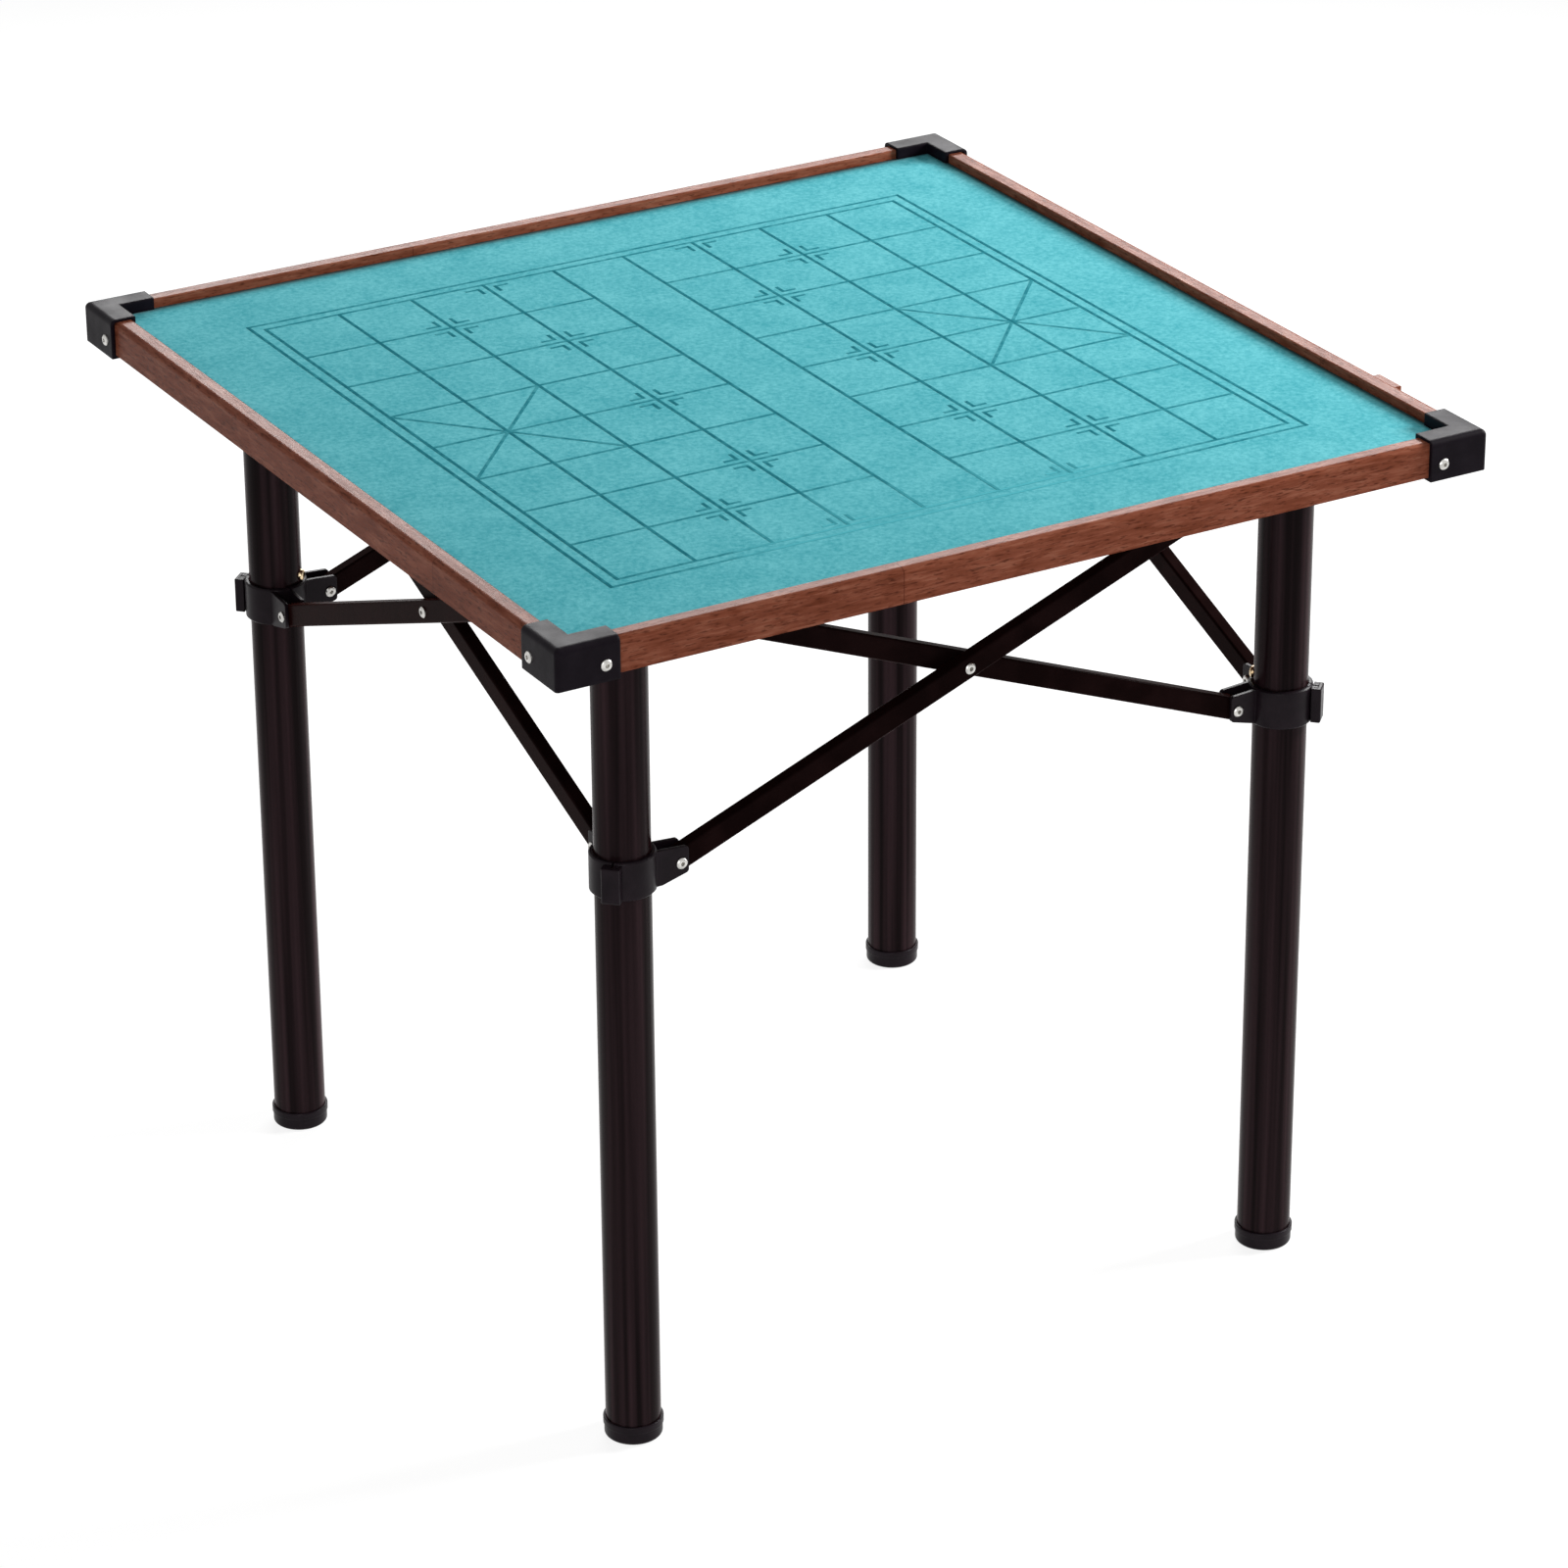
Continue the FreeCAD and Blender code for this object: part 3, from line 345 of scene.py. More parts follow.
@dataclass(frozen=True)
class SatinWood(Finish):
    """Planed wood under satin varnish: broken grain lines, short dark pores and a soft shine.

    Lengths are glued up from staves that meet in butt joints, each stave in a tone of its own.
    """

    grain: Grain
    dark: str
    middle: str
    light: str
    pore: str
    figure_mm: tuple[float, float] = (42.0, 9.0)
    line_mm: tuple[float, float] = (26.0, 2.6)
    line_share: float = 0.6
    tint_span: tuple[float, float, float] = (0.34, 0.5, 0.66)
    pore_mm: tuple[float, float] = (8.0, 1.3)
    pore_span: tuple[float, float] = (0.56, 0.68)
    pore_share: float = 0.7
    pore_depth_mm: float = 0.12
    pore_strength: float = 0.3
    stave_mm: float = 600.0
    stave_start: float = 0.5
    stave_tone: tuple[float, float] = (0.9, 1.12)
    joint_mm: float = 0.5
    roughness: float = 0.25
    gloss_swing: tuple[float, float] = (0.08, -0.05)
    specular: float = 0.03
    ior: float = 1.5

    def pitch(self, along_mm: float, across_mm: float) -> tuple[float, float, float]:
        """Scales a pattern that is longer along the grain than across it.

        Args:
            along_mm: The pattern's length along the grain.
            across_mm: Its width across the grain.

        Returns:
            The three scales for a mapping, in features per metre.
        """
        scale = [per_metre(across_mm)] * 3
        scale[self.grain.value] = per_metre(along_mm)
        return scale[0], scale[1], scale[2]

    def joint_staves(self, tree: bpy.types.NodeTree, spot: bpy.types.NodeSocket,
                     wood: bpy.types.NodeSocket) -> bpy.types.NodeSocket:
        """Gives each stave a tone of its own, and a thin dark line where it meets the next.

        Args:
            tree: The material's node tree.
            spot: The place on the wood.
            wood: The colour of an unbroken length.

        Returns:
            The colour of the glued-up length.
        """
        axes = add(tree, "ShaderNodeSeparateXYZ", {"Vector": spot})
        stave = add(tree, "ShaderNodeMath", {
            0: axes.outputs[self.grain.value], 1: per_metre(self.stave_mm), 2: self.stave_start},
            operation="MULTIPLY_ADD")
        number = add(tree, "ShaderNodeMath", {0: stave.outputs[0]}, operation="FLOOR")
        tone = add(tree, "ShaderNodeTexWhiteNoise", {"W": number.outputs[0]}, noise_dimensions="1D")
        level = add(tree, "ShaderNodeMapRange", {
            "Value": tone.outputs["Value"], "To Min": self.stave_tone[0],
            "To Max": self.stave_tone[1]})
        past = add(tree, "ShaderNodeMath", {0: stave.outputs[0]}, operation="FRACT")
        joint = add(tree, "ShaderNodeMath", {
            0: past.outputs[0], 1: self.joint_mm / self.stave_mm}, operation="LESS_THAN")
        jointed = add(tree, "ShaderNodeMix", {
            "Factor_Float": joint.outputs[0], "A_Color": wood,
            "B_Color": linear(self.pore)}, data_type="RGBA")
        toned = add(tree, "ShaderNodeHueSaturation", {
            "Color": jointed.outputs[2], "Value": level.outputs["Result"]})
        return toned.outputs["Color"]

    def draw(self, tree: bpy.types.NodeTree) -> bpy.types.NodeSocket:
        """Adds figure, grain lines, pores and a tone for each stave under the varnish.

        Args:
            tree: The material's empty node tree.

        Returns:
            The finished surface.
        """
        spot = add(tree, "ShaderNodeTexCoord").outputs["Object"]
        figure_at, lines_at, pores_at = (
            add(tree, "ShaderNodeMapping", {"Vector": spot, "Scale": self.pitch(*size)}).outputs[0]
            for size in (self.figure_mm, self.line_mm, self.pore_mm))
        figure = add(tree, "ShaderNodeTexNoise", {
            "Vector": figure_at, "Scale": 1.0, "Detail": 2.0, "Distortion": 0.6})
        lines = add(tree, "ShaderNodeTexNoise", {
            "Vector": lines_at, "Scale": 1.0, "Detail": 4.0, "Roughness": 0.6, "Distortion": 0.5})
        pores = add(tree, "ShaderNodeTexNoise", {
            "Vector": pores_at, "Scale": 1.0, "Detail": 2.0, "Roughness": 0.5})
        both = add(tree, "ShaderNodeMix", {
            "Factor_Float": self.line_share, "A_Float": figure.outputs["Fac"],
            "B_Float": lines.outputs["Fac"]})
        wood = add(tree, "ShaderNodeValToRGB", {"Fac": both.outputs["Result"]},
                   stops=tuple(zip(self.tint_span, (self.dark, self.middle, self.light))))
        flecks = add(tree, "ShaderNodeMapRange", {
            "Value": pores.outputs["Fac"], "From Min": self.pore_span[0],
            "From Max": self.pore_span[1], "To Max": self.pore_share})
        pored = add(tree, "ShaderNodeMix", {
            "Factor_Float": flecks.outputs["Result"], "A_Color": wood.outputs["Color"],
            "B_Color": linear(self.pore)}, data_type="RGBA")
        gloss = add(tree, "ShaderNodeMapRange", {
            "Value": lines.outputs["Fac"], "From Min": NOISE_LOW, "From Max": NOISE_HIGH,
            "To Min": self.roughness + self.gloss_swing[0],
            "To Max": self.roughness + self.gloss_swing[1]})
        relief = add(tree, "ShaderNodeBump", {
            "Height": flecks.outputs["Result"], "Strength": self.pore_strength,
            "Distance": self.pore_depth_mm * MM}, invert=True)
        shader = add(tree, "ShaderNodeBsdfPrincipled", {
            "Base Color": self.joint_staves(tree, spot, pored.outputs[2]),
            "Roughness": gloss.outputs["Result"], "IOR": self.ior,
            "Specular IOR Level": self.specular, "Normal": relief.outputs["Normal"]})
        return shader.outputs["BSDF"]


@dataclass(frozen=True)
class MouldedPlastic(Finish):
    """Moulded plastic: one dark colour in the mass, with the fine grain of an etched mould."""

    colour: str
    rubbed: str
    grit_mm: float
    roughness: float
    handling_mm: float = 28.0
    rubbed_span: tuple[float, float] = (0.4, 0.72)
    gloss_swing: float = 0.06
    grain_strength: float = 0.25
    grain_depth_mm: float = 0.15
    edge_mm: float = 0.8
    specular: float = 0.12
    ior: float = 1.53

    def draw(self, tree: bpy.types.NodeTree) -> bpy.types.NodeSocket:
        """Adds the mould's grain as bump, with slight rubbing in wide patches.

        Args:
            tree: The material's empty node tree.

        Returns:
            The finished surface.
        """
        spot = add(tree, "ShaderNodeTexCoord").outputs["Object"]
        # The etched grain is finer than a pixel, so it is drawn about twice its size.
        grit = add(tree, "ShaderNodeTexNoise", {
            "Vector": spot, "Scale": per_metre(self.grit_mm), "Detail": 2.0, "Roughness": 0.6})
        handling = add(tree, "ShaderNodeTexNoise", {
            "Vector": spot, "Scale": per_metre(self.handling_mm), "Detail": 4.0, "Roughness": 0.6})
        tint = add(tree, "ShaderNodeValToRGB", {"Fac": handling.outputs["Fac"]},
                   stops=tuple(zip(self.rubbed_span, (self.colour, self.rubbed))))
        gloss = add(tree, "ShaderNodeMapRange", {
            "Value": handling.outputs["Fac"], "From Min": NOISE_LOW, "From Max": NOISE_HIGH,
            "To Min": self.roughness + self.gloss_swing,
            "To Max": self.roughness - self.gloss_swing})
        edges = add(tree, "ShaderNodeBevel", {"Radius": self.edge_mm * MM})
        relief = add(tree, "ShaderNodeBump", {
            "Height": grit.outputs["Fac"], "Strength": self.grain_strength,
            "Distance": self.grain_depth_mm * MM, "Normal": edges.outputs["Normal"]})
        shader = add(tree, "ShaderNodeBsdfPrincipled", {
            "Base Color": tint.outputs["Color"], "Roughness": gloss.outputs["Result"],
            "IOR": self.ior, "Specular IOR Level": self.specular,
            "Normal": relief.outputs["Normal"]})
        return shader.outputs["BSDF"]


@dataclass(frozen=True)
class StoveEnamel(Finish):
    """Stoved enamel on drawn steel tube: brown-black, glossy, with paler streaks along the tube
    painted in as highlights.
    """

    colour: str = "#100709"
    # A paler colour painted in long streaks as highlights, and the span of the pattern that places
    # it.
    painted_sheen: str = "#352529"
    painted_sheen_span: tuple[float, float] = (0.38, 0.68)
    glow: str = "#7A3A34"
    glow_share: float = 0.15
    glow_roughness: float = 0.4
    streak_mm: tuple[float, float] = (9.0, 700.0)
    peel_mm: float = 5.5
    peel_depth_mm: float = 0.08
    peel_strength: float = 0.12
    roughness: float = 0.22
    gloss_swing: tuple[float, float] = (-0.03, 0.05)
    specular: float = 0.04
    ior: float = 1.5

    def draw(self, tree: bpy.types.NodeTree) -> bpy.types.NodeSocket:
        """Adds a gloss coat that waves a little, with paler streaks painted in as highlights,
        browner at its edges.

        Args:
            tree: The material's empty node tree.

        Returns:
            The finished surface.
        """
        spot = add(tree, "ShaderNodeTexCoord").outputs["Object"]
        peel = add(tree, "ShaderNodeTexNoise", {
            "Vector": spot, "Scale": per_metre(self.peel_mm), "Detail": 1.0})
        wide, long = (per_metre(size) for size in self.streak_mm)
        drawn = add(tree, "ShaderNodeMapping", {"Vector": spot, "Scale": (wide, wide, long)})
        sheen_streaks = add(tree, "ShaderNodeTexNoise", {
            "Vector": drawn.outputs[0], "Scale": 1.0, "Detail": 2.0})
        # Painted highlight: the streaks are a paler colour standing in for the reflections that run
        # down a glossy tube, and the roughness follows them.
        tint = add(tree, "ShaderNodeValToRGB", {"Fac": sheen_streaks.outputs["Fac"]},
                   stops=tuple(zip(self.painted_sheen_span, (self.colour, self.painted_sheen))))
        gloss = add(tree, "ShaderNodeMapRange", {
            "Value": sheen_streaks.outputs["Fac"], "From Min": NOISE_LOW, "From Max": NOISE_HIGH,
            "To Min": self.roughness + self.gloss_swing[0],
            "To Max": self.roughness + self.gloss_swing[1]})
        relief = add(tree, "ShaderNodeBump", {
            "Height": peel.outputs["Fac"], "Strength": self.peel_strength,
            "Distance": self.peel_depth_mm * MM})
        shader = add(tree, "ShaderNodeBsdfPrincipled", {
            "Base Color": tint.outputs["Color"], "Roughness": gloss.outputs["Result"],
            "IOR": self.ior, "Specular IOR Level": self.specular,
            "Sheen Weight": self.glow_share, "Sheen Roughness": self.glow_roughness,
            "Sheen Tint": linear(self.glow), "Normal": relief.outputs["Normal"]})
        return shader.outputs["BSDF"]


@dataclass(frozen=True)
class PlatedMetal(Finish):
    """Plated or turned metal: bright, with fine scratches and a little dulling in patches."""

    bright: str
    dull: str
    roughness: float
    gloss_swing: float = 0.12
    patch_mm: float = 3.0
    dull_span: tuple[float, float] = (0.35, 0.75)
    scratch_mm: float = 0.8
    scratch_depth_mm: float = 0.05
    scratch_strength: float = 0.1

    def draw(self, tree: bpy.types.NodeTree) -> bpy.types.NodeSocket:
        """Adds a metal whose shine varies over small patches.

        Args:
            tree: The material's empty node tree.

        Returns:
            The finished surface.
        """
        spot = add(tree, "ShaderNodeTexCoord").outputs["Object"]
        patches = add(tree, "ShaderNodeTexNoise", {
            "Vector": spot, "Scale": per_metre(self.patch_mm), "Detail": 3.0})
        scratches = add(tree, "ShaderNodeTexNoise", {
            "Vector": spot, "Scale": per_metre(self.scratch_mm), "Detail": 2.0})
        tint = add(tree, "ShaderNodeValToRGB", {"Fac": patches.outputs["Fac"]},
                   stops=tuple(zip(self.dull_span, (self.bright, self.dull))))
        gloss = add(tree, "ShaderNodeMapRange", {
            "Value": patches.outputs["Fac"], "From Min": NOISE_LOW, "From Max": NOISE_HIGH,
            "To Min": self.roughness, "To Max": self.roughness + self.gloss_swing})
        relief = add(tree, "ShaderNodeBump", {
            "Height": scratches.outputs["Fac"], "Strength": self.scratch_strength,
            "Distance": self.scratch_depth_mm * MM})
        shader = add(tree, "ShaderNodeBsdfPrincipled", {
            "Base Color": tint.outputs["Color"], "Metallic": 1.0,
            "Roughness": gloss.outputs["Result"], "Normal": relief.outputs["Normal"]})
        return shader.outputs["BSDF"]


@dataclass(frozen=True)
class StudioPaper(Finish):
    """Seamless white paper: pale and matt, white to the eye while it keeps soft shadows."""

    paper: str = "#F4F4F4"
    shaded: str = "#8C8C8C"
    own_light: float = 0.85

    def draw(self, tree: bpy.types.NodeTree) -> bpy.types.NodeSocket:
        """Adds matt paper that shows near white to the camera and in reflections.

        Args:
            tree: The material's empty node tree.

        Returns:
            The finished surface.
        """
        matt = add(tree, "ShaderNodeBsdfDiffuse", {"Color": linear(self.paper)})
        shaded = add(tree, "ShaderNodeBsdfDiffuse", {"Color": linear(self.shaded)})
        lit = add(tree, "ShaderNodeEmission", {"Strength": self.own_light})
        white = add(tree, "ShaderNodeAddShader", {0: shaded.outputs[0], 1: lit.outputs[0]})
        mixed = add(tree, "ShaderNodeMixShader", {
            0: shown(tree), 1: matt.outputs[0], 2: white.outputs[0]})
        return mixed.outputs[0]


# Rotary-cut veneer: a broad, stretched figure in sheets wider than the table.
ROTARY_CUT: dict[str, Any] = {
    "figure_mm": (300.0, 40.0), "line_mm": (240.0, 16.0), "stave_mm": 2000.0}

# Teal felt on the field: matted fibres that take light softly, with no highlight.
FELT = WoolFelt("wool_felt_teal")
# Dark teal ink in the felt, dull and even: the ranks and the lines that run with them.
INK = ScreenInk("screen_ink_dark_teal", ink="#196F7B", worn="#328D98", rub_share=0.45)
# The same ink in a paler mix: the other lines.
FAINT_INK = ScreenInk("screen_ink_faint_teal", ink="#28818D", worn="#4BA3AD", rub_share=0.95)
# Stained walnut, satin varnished: red-brown with dark pores, shining along its rounded edge.
WALNUT = {grain: SatinWood(
    f"walnut_satin_{grain.name.lower()}", grain, dark="#713925", middle="#894C38",
    light="#A0644E", pore="#472114", stave_start=start)
    for grain, start in ((Grain.ALONG_X, 0.2), (Grain.ALONG_Y, 0.36))}
# Poplar plywood, unvarnished: pale, with a broad figure and little shine.
PLYWOOD = SatinWood(
    "poplar_plywood", Grain.ALONG_X, dark="#B08A60", middle="#C7A276", light="#D9BA90",
    pore="#8F6B45", roughness=0.65, **ROTARY_CUT)
# The same plywood stained brown: the panel under the top, dull and dark.
STAINED_PLYWOOD = SatinWood(
    "stained_plywood_brown", Grain.ALONG_X, dark="#35211A", middle="#452C22", light="#56392C",
    pore="#24140E", roughness=0.6, **ROTARY_CUT)
# Sawn pine: the battens, runners and blocks, dry, pale and straight in the grain.
SOFTWOOD = SatinWood(
    "sawn_pine", Grain.ALONG_Y, dark="#BE9562", middle="#D3AF7C", light="#E2C596",
    pore="#9A7445", figure_mm=(260.0, 14.0), line_mm=(180.0, 6.0), stave_mm=2000.0,
    roughness=0.75)
# ABS corner caps from an etched mould: soft black with a grey bloom where light grazes them.
CAP_ABS = MouldedPlastic(
    "moulded_abs_black", "#110B12", "#1B151C", grit_mm=1.7, roughness=0.42, grain_strength=0.4,
    edge_mm=2.5, specular=0.05)
# Nylon collars, clips, heads and feet: smoother black with a low shine.
NYLON = MouldedPlastic(
    "moulded_nylon_black", "#171015", "#231A20", grit_mm=1.6, roughness=0.33, grain_strength=0.15,
    edge_mm=1.2, specular=0.08)
# Polystyrene drawer trays: matt charcoal with the fine grain of the mould.
TRAY_STYRENE = MouldedPlastic(
    "moulded_styrene_charcoal", "#1E1C1E", "#282628", grit_mm=1.3, roughness=0.5)
# Stoved enamel on the legs: brown-black with long paler streaks, painted highlights as light runs
# down a drawn tube.
LEG_ENAMEL = StoveEnamel("stove_enamel_brown_black")
# Stoved enamel on the bars: deeper black without streaks, its painted sheen only faint patches,
# reddish where light grazes it.
BAR_ENAMEL = StoveEnamel(
    "stove_enamel_black", colour="#110707", painted_sheen="#1B0E0E", roughness=0.27, glow_share=0.3,
    streak_mm=(30.0, 30.0), specular=0.008)
# Zinc-plated screws and rivets: bright, a little soft.
ZINC = PlatedMetal("zinc_plate_bright", "#DAD8D4", "#B4B2AE", roughness=0.24)
# Turned brass stops: small and bright, a warm pale yellow.
BRASS = PlatedMetal("turned_brass", "#EFD9B4", "#D3AF7C", roughness=0.2)
# Studio paper under the table: plain white that keeps the feet's soft shadows.
PAPER = StudioPaper("studio_paper_white")


def dress(node: str, finish: Finish) -> None:
    """Gives a CAD node its finish.

    Args:
        node: The node's name.
        finish: What its surface is made of.
    """
    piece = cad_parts[node]
    piece.data.materials.clear()
    piece.data.materials.append(finish.make())
    log.info("dressed %s in %s", node, finish.name)


def new_piece(name: str, shape: bmesh.types.BMesh, finish: Finish) -> bpy.types.Object:
    """Makes an object from a finished mesh.

    Args:
        name: The piece's name.
        shape: Its mesh, which is freed.
        finish: What its surface is made of.

    Returns:
        The new object, linked into the scene.
    """
    mesh = bpy.data.meshes.new(name)
    shape.to_mesh(mesh)
    shape.free()
    mesh.materials.append(finish.make())
    piece = bpy.data.objects.new(name, mesh)
    bpy.context.scene.collection.objects.link(piece)
    log.info("built %s in %s", name, finish.name)
    return piece


@dataclass
class PlayingField:
    """The felt laid between the rails, and the chess board printed on it."""

    cells: int = 90
    wave_mm: float = 0.05
    wave_pitch_mm: float = 60.0
    border_half_mm: float = 317.0
    grid_half_mm: float = 306.0
    ranks: int = 10
    files: int = 9
    palace_files: tuple[int, int] = (3, 5)
    palace_ranks: int = 2
    cannon_rank: int = 2
    soldier_rank: int = 3
    line_mm: float = 2.8
    mark_mm: float = 12.0
    mark_gap_mm: float = 8.0
    ink_rise_mm: float = 0.12
    ink_root_mm: float = 0.2
    weld_mm: float = 1e-4

    def build(self) -> None:
        """Builds the cloth and its print, and sets both riding on the top."""
        cloth = self.build_cloth()
        print_lines = self.build_print()

    @property
    def width(self) -> float:
        """The cloth's cut width, which is the clear space between the rails."""
        low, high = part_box("playing_felt")
        return high.x - low.x

    def build_cloth(self) -> bpy.types.Object:
        """Makes the felt as a thin sheet with a slightly uneven face.

        Returns:
            The cloth, standing for its CAD solid.
        """
        low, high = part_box("playing_felt")
        shape = bmesh.new()
        bmesh.ops.create_grid(shape, x_segments=self.cells, y_segments=self.cells,
                              size=self.width / 2)
        for vertex in shape.verts:
            place = vertex.co / (self.wave_pitch_mm * MM)
            vertex.co.z = high.z + self.wave_mm * MM * (noise.noise(place) - 1)
        for face in shape.faces:
            face.smooth = True
        cloth = new_piece("felt_cloth", shape, FELT)
        thickness = cloth.modifiers.new("felt_thickness", "SOLIDIFY")
        thickness.thickness = high.z - low.z - 2 * self.wave_mm * MM
        thickness.offset = -1
        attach(cloth, "table_top")
        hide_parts("playing_felt")
        return cloth

    def rank_at(self, number: int) -> float:
        """The place along X of a rank line, in mm."""
        return self.grid_half_mm * (2 * number / (self.ranks - 1) - 1)

    def file_at(self, number: int) -> float:
        """The place along Y of a file line, in mm."""
        return self.grid_half_mm * (2 * number / (self.files - 1) - 1)

    def square(self, half: float) -> list[Line]:
        """The four lines of a border, each run on to its corner's outside.

        Args:
            half: Half the border's width in mm.

        Returns:
            The border's lines.
        """
        end = half + self.line_mm / 2
        return [(-end, -half, end, -half), (-end, half, end, half),
                (-half, -end, -half, end), (half, -end, half, end)]

    def grid(self) -> list[Line]:
        """The ranks, and the files that stop at the river.

        Returns:
            The lines inside the grid's own border.
        """
        edge, half = self.grid_half_mm, self.ranks // 2
        lines = [(self.rank_at(n), -edge, self.rank_at(n), edge) for n in range(1, self.ranks - 1)]
        for n in range(1, self.files - 1):
            lines.append((-edge, self.file_at(n), self.rank_at(half - 1), self.file_at(n)))
            lines.append((self.rank_at(half), self.file_at(n), edge, self.file_at(n)))
        return lines

    def palaces(self) -> list[Line]:
        """The crossed diagonals of the palace at each end.

        Returns:
            Two lines for each palace.
        """
        low, high = (self.file_at(n) for n in self.palace_files)
        last = self.ranks - 1
        ends = ((0, self.palace_ranks), (last - self.palace_ranks, last))
        reach = [(self.rank_at(a), self.rank_at(b)) for a, b in ends]
        return [line for a, b in reach for line in ((a, low, b, high), (a, high, b, low))]

    def marks(self) -> list[Line]:
        """The angled marks round the points where cannons and soldiers start.

        Returns:
            Two lines for each mark, which meet at its corner.
        """
        last, last_rank = self.files - 1, self.ranks - 1
        cannons = product((self.cannon_rank, last_rank - self.cannon_rank), (1, last - 1))
        soldiers = product((self.soldier_rank, last_rank - self.soldier_rank),
                           range(0, self.files, 2))
        points = [*cannons, *soldiers]
        lines = []
        for (rank, file), sx, sy in product(points, (-1, 1), (-1, 1)):
            if (file == 0 and sy < 0) or (file == last and sy > 0):
                continue
            x = self.rank_at(rank) + sx * self.mark_gap_mm
            y = self.file_at(file) + sy * self.mark_gap_mm
            lap = self.line_mm / 2
            lines.append((x - sx * lap, y, x + sx * self.mark_mm, y))
            lines.append((x, y - sy * lap, x, y + sy * self.mark_mm))
        return lines

    def strips(self, lines: Sequence[Line]) -> tuple[list[Vector], list[list[int]]]:
        """Gives each line its width.

        Args:
            lines: Every line of the print.

        Returns:
            The corners of all the strips in mm, and the numbers of each strip's own corners.
        """
        spots: list[Vector] = []
        strips: list[list[int]] = []
        for x0, y0, x1, y1 in lines:
            start, end = Vector((x0, y0)), Vector((x1, y1))
            side = (end - start).normalized().orthogonal() * self.line_mm / 2
            strips.append(list(range(len(spots), len(spots) + 4)))
            spots += [start + side, start - side, end - side, end + side]
        return spots, strips

    def build_film(self, lines: Sequence[Line]) -> bmesh.types.BMesh:
        """Joins the lines' strips where they cross, and gives them a depth.

        Args:
            lines: Every line of the print.

        Returns:
            One layer of ink: ranks in its first material, and the other lines in its second.
        """
        spots, strips = self.strips(lines)
        places, _, cells, _, _, owners = delaunay_2d_cdt(
            spots, [], strips, INSIDE_ONLY, self.weld_mm)
        face_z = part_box("playing_felt")[1].z
        shape = bmesh.new()
        points = [shape.verts.new((p.x * MM, p.y * MM, face_z + self.ink_rise_mm * MM))
                  for p in places]
        top = []
        for corners, owner in zip(cells, owners):
            if owner:
                top.append(shape.faces.new([points[n] for n in corners]))
                # A line along a rank keeps its x, and its stronger ink covers what crosses it.
                top[-1].material_index = int(all(lines[n][0] != lines[n][2] for n in owner))
        shape.verts.ensure_lookup_table()
        lone = [v for v in shape.verts if not v.link_faces]
        bmesh.ops.delete(shape, geom=lone, context="VERTS")
        bmesh.ops.recalc_face_normals(shape, faces=top)
        grown = bmesh.ops.extrude_face_region(shape, geom=top, use_keep_orig=True)["geom"]
        lowered = [g for g in grown if isinstance(g, bmesh.types.BMVert)]
        bmesh.ops.translate(shape, verts=lowered,
                            vec=(0, 0, -(self.ink_rise_mm + self.ink_root_mm) * MM))
        bmesh.ops.recalc_face_normals(shape, faces=shape.faces)
        return shape

    def build_print(self) -> bpy.types.Object:
        """Makes every printed line as one shallow layer of ink in the felt's face.

        Returns:
            The print.
        """
        lines = self.square(self.border_half_mm) + self.square(self.grid_half_mm)
        lines += self.grid() + self.palaces() + self.marks()
        ink = new_piece("board_print", self.build_film(lines), INK)
        ink.data.materials.append(FAINT_INK.make())
        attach(ink, "table_top")
        return ink


@dataclass
class RailFrame:
    """The four rails, the moulded caps on their corners and the caps' screws."""

    caps: Finish = CAP_ABS
    screws: Finish = ZINC

    def dress(self) -> None:
        """Gives the rails their wood, the caps their plastic and the screws their zinc."""
        for side in Side:
            dress(f"rail_{side.value}", WALNUT[side.grain])
        for corner in CORNERS:
            dress(f"corner_cap_{corner}", self.caps)
        dress("cap_screws", self.screws)


@dataclass
class TopCore:
    """What lies between and under the rails: board, battens, panel and locating blocks."""

    board: Finish = PLYWOOD
    panel: Finish = STAINED_PLYWOOD
    strips: Finish = SOFTWOOD

    def dress(self) -> None:
        """Gives the board and panel their plywood and the battens and blocks their pine."""
        dress("play_board", self.board)
        dress("bottom_panel", self.panel)
        for node in ("core_battens", "locating_blocks"):
            dress(node, self.strips)


@dataclass
class SlimDrawer:
    """A shallow drawer in one rail: tray, front and pull."""

    side: Side
    tray: Finish = TRAY_STYRENE

    def dress(self) -> None:
        """Gives the tray its plastic, and the front and pull the rail's own wood."""
        dress(f"drawer_{self.side.value}_tray", self.tray)
        for piece in ("front", "pull"):
            dress(f"drawer_{self.side.value}_{piece}", WALNUT[self.side.grain])


@dataclass
class ScissorFrame:
    """The four legs with their fittings, and the crossed bars that fold them together."""

    legs: Finish = LEG_ENAMEL
    bars: Finish = BAR_ENAMEL
    fittings: Finish = NYLON
    rivets: Finish = ZINC
    stops: Finish = BRASS

    def dress(self) -> None:
        """Gives legs and bars their enamel, fittings their nylon, rivets zinc and stops brass."""
        for corner in CORNERS:
            dress(f"leg_{corner}", self.legs)
            for fitting in ("leg_head", "foot", "collar", "collar_clip"):
                dress(f"{fitting}_{corner}", self.fittings)
            dress(f"stop_{corner}", self.stops)
        for side, layer in product(Side, LAYERS):
            dress(f"bar_{side.value}_{layer}", self.bars)
            dress(f"rivets_{side.value}_{layer}", self.rivets)


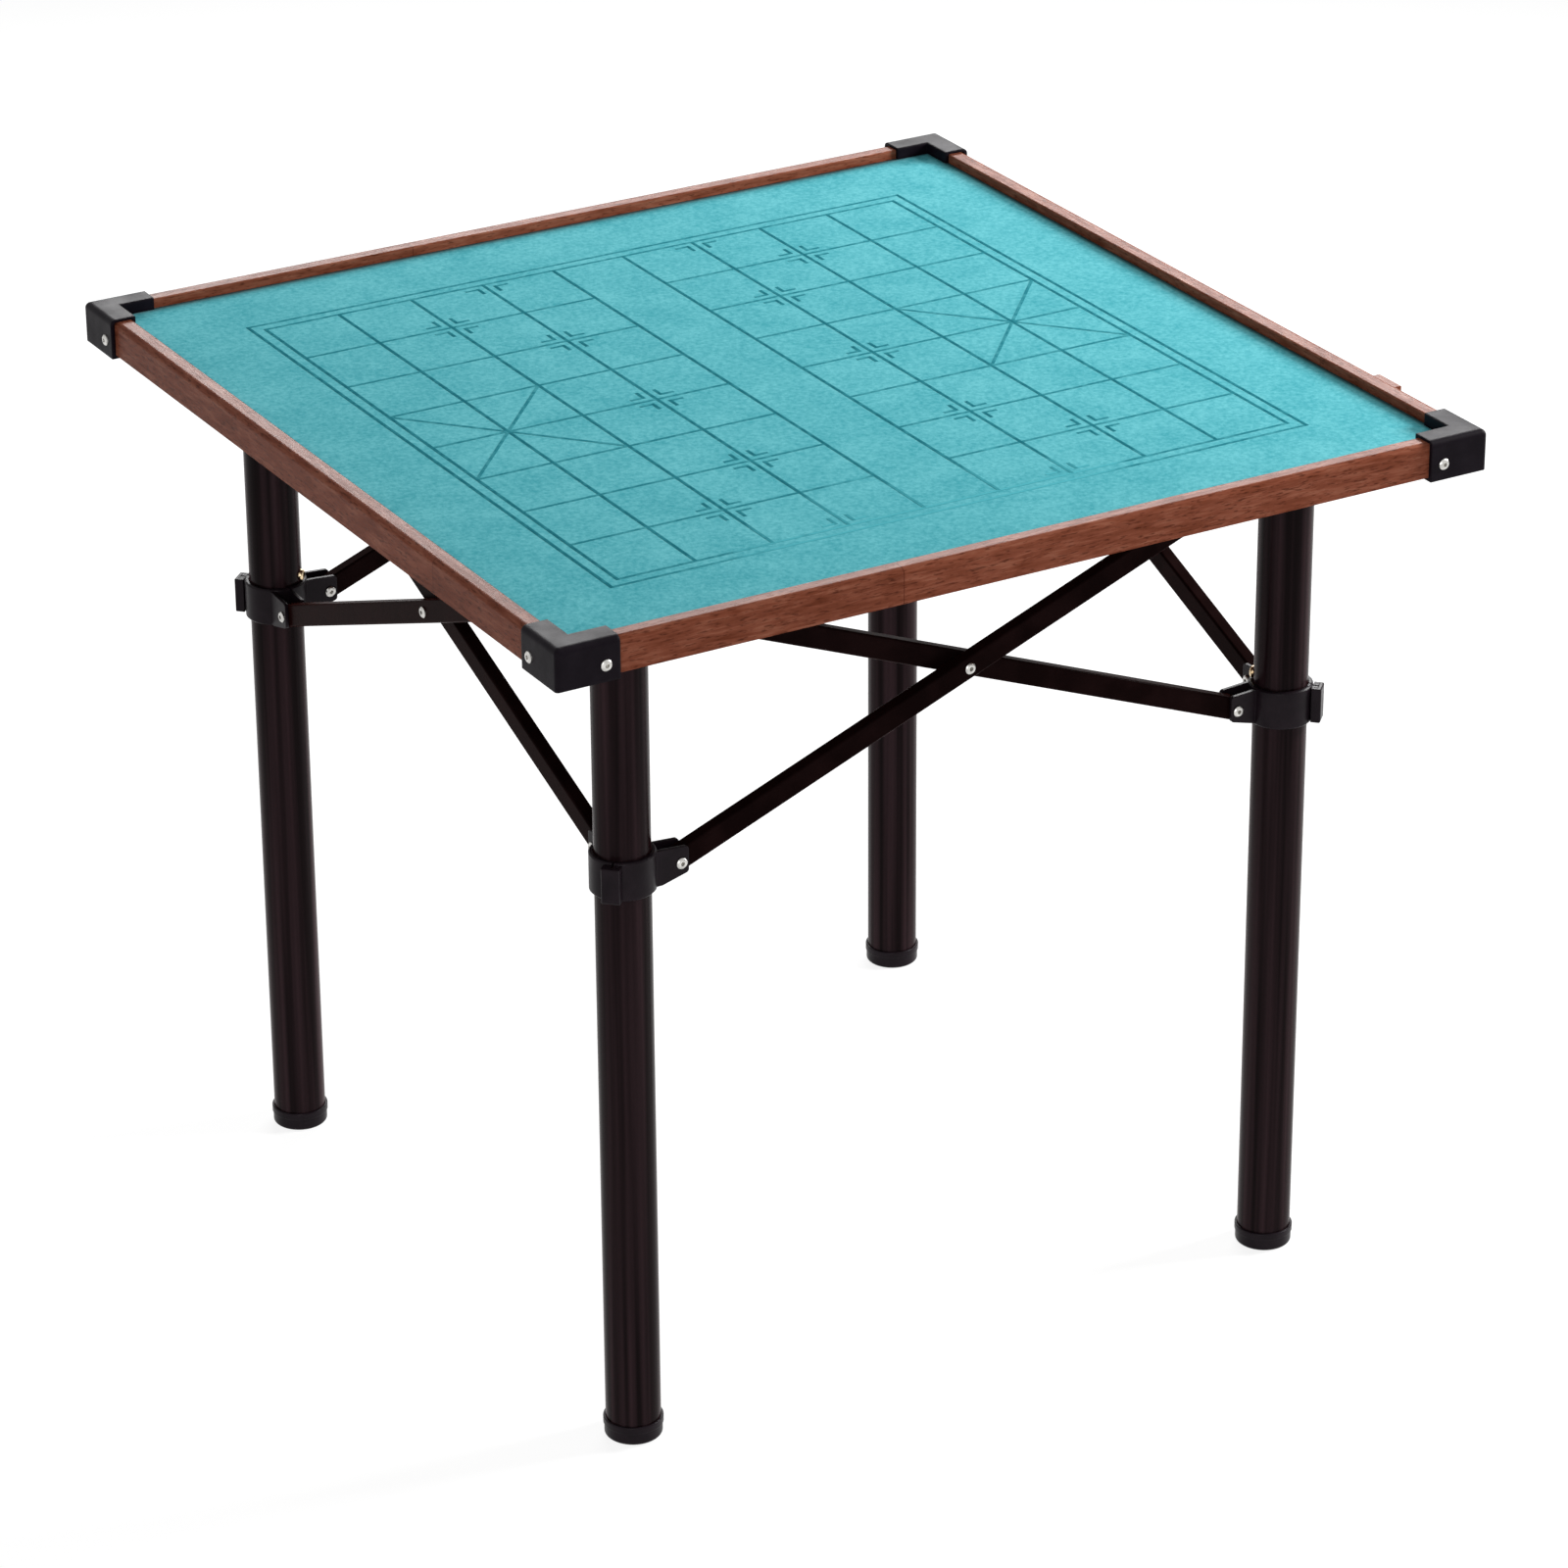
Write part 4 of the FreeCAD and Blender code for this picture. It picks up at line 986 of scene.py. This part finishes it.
@dataclass(frozen=True)
class SoftBox:
    """A studio lamp behind a white cloth: an even rectangle of light."""

    name: str
    place_m: tuple[float, float, float]
    size_m: tuple[float, float]
    watts: float

    def hang(self, aim_m: Sequence[float]) -> None:
        """Hangs the lamp and turns it to a point.

        Args:
            aim_m: The point that it faces.
        """
        lamp = bpy.data.lights.new(self.name, "AREA")
        lamp.shape = "RECTANGLE"
        lamp.size, lamp.size_y = self.size_m
        lamp.energy = self.watts
        holder = bpy.data.objects.new(self.name, lamp)
        holder.location = Vector(self.place_m)
        aim = Vector(aim_m) - holder.location
        holder.rotation_euler = aim.to_track_quat("-Z", "Y").to_euler()
        bpy.context.scene.collection.objects.link(holder)


@dataclass
class Studio:
    """A white floor, soft light with its key on the right, and the camera."""

    focal_px: float = 6073.28
    image_px: float = 1600.0
    azimuth: float = -29.984
    elevation: float = 25.37
    roll: float = -0.383
    eye_mm: tuple[float, float, float] = (-2260.73, -3943.39, 2534.64)
    sensor_mm: float = 36.0
    view_m: float = 200.0
    floor_m: float = 60.0
    ambient: float = 0.18
    sky: float = 0.9
    sky_colour: str = "#FFFFFF"
    aim_m: tuple[float, float, float] = (0.0, 0.0, 0.7)
    lamps: tuple[SoftBox, ...] = (
        SoftBox("key_right", (2.2, -0.6, 1.65), (0.7, 0.7), 70.0),
        SoftBox("sheen_back", (1.5, 2.4, 1.97), (2.4, 0.85), 74.0),
        SoftBox("soft_above", (-0.4, -0.3, 4.2), (3.0, 3.0), 10.0),
        SoftBox("fill_front", (-1.9, -2.9, 1.4), (1.6, 1.6), 27.0),
    )

    def build(self) -> None:
        """Sets up everything round the table."""
        self.build_floor()
        self.build_world()
        for lamp in self.lamps:
            lamp.hang(self.aim_m)
        self.build_camera()
        bpy.context.scene.view_settings.view_transform = "Standard"

    def build_floor(self) -> None:
        """Lays the paper that the table stands on."""
        shape = bmesh.new()
        bmesh.ops.create_grid(shape, x_segments=1, y_segments=1, size=self.floor_m / 2)
        new_piece("studio_floor", shape, PAPER)

    def build_world(self) -> None:
        """Makes the surroundings white to the eye and softer as a source of light."""
        world = bpy.data.worlds.new("white_studio")
        world.use_nodes = True
        tree = world.node_tree
        tree.nodes.clear()
        level = add(tree, "ShaderNodeMapRange", {
            "Value": shown(tree), "To Min": self.ambient, "To Max": self.sky})
        sky = add(tree, "ShaderNodeBackground", {
            "Color": linear(self.sky_colour), "Strength": level.outputs["Result"]})
        add(tree, "ShaderNodeOutputWorld", {"Surface": sky.outputs[0]})
        bpy.context.scene.world = world

    def build_camera(self) -> None:
        """Places the camera at the photograph's angle."""
        turn, lift, roll = (math.radians(a) for a in (self.azimuth, self.elevation, self.roll))
        back = Vector((math.sin(turn) * math.cos(lift), -math.cos(turn) * math.cos(lift),
                       math.sin(lift)))
        level = Vector((math.cos(turn), math.sin(turn), 0))
        upright = back.cross(level)
        right = level * math.cos(roll) + upright * math.sin(roll)
        up = upright * math.cos(roll) - level * math.sin(roll)
        lens = bpy.data.cameras.new("photo_camera")
        lens.sensor_width = self.sensor_mm
        lens.lens = self.focal_px * self.sensor_mm / self.image_px
        lens.clip_end = self.view_m
        camera = bpy.data.objects.new("photo_camera", lens)
        place = Matrix((right, up, back)).transposed().to_4x4()
        place.translation = Vector(self.eye_mm) * MM
        camera.matrix_world = place
        bpy.context.scene.collection.objects.link(camera)
        bpy.context.scene.camera = camera


def main() -> None:
    """Builds and dresses the table from the field outwards, then the studio round it."""
    logging.basicConfig(level=logging.INFO, format="%(name)s: %(message)s")
    PlayingField().build()
    RailFrame().dress()
    TopCore().dress()
    for side in (Side.RIGHT, Side.BACK):
        SlimDrawer(side).dress()
    ScissorFrame().dress()
    Studio().build()


if __name__ == "__main__":
    main()
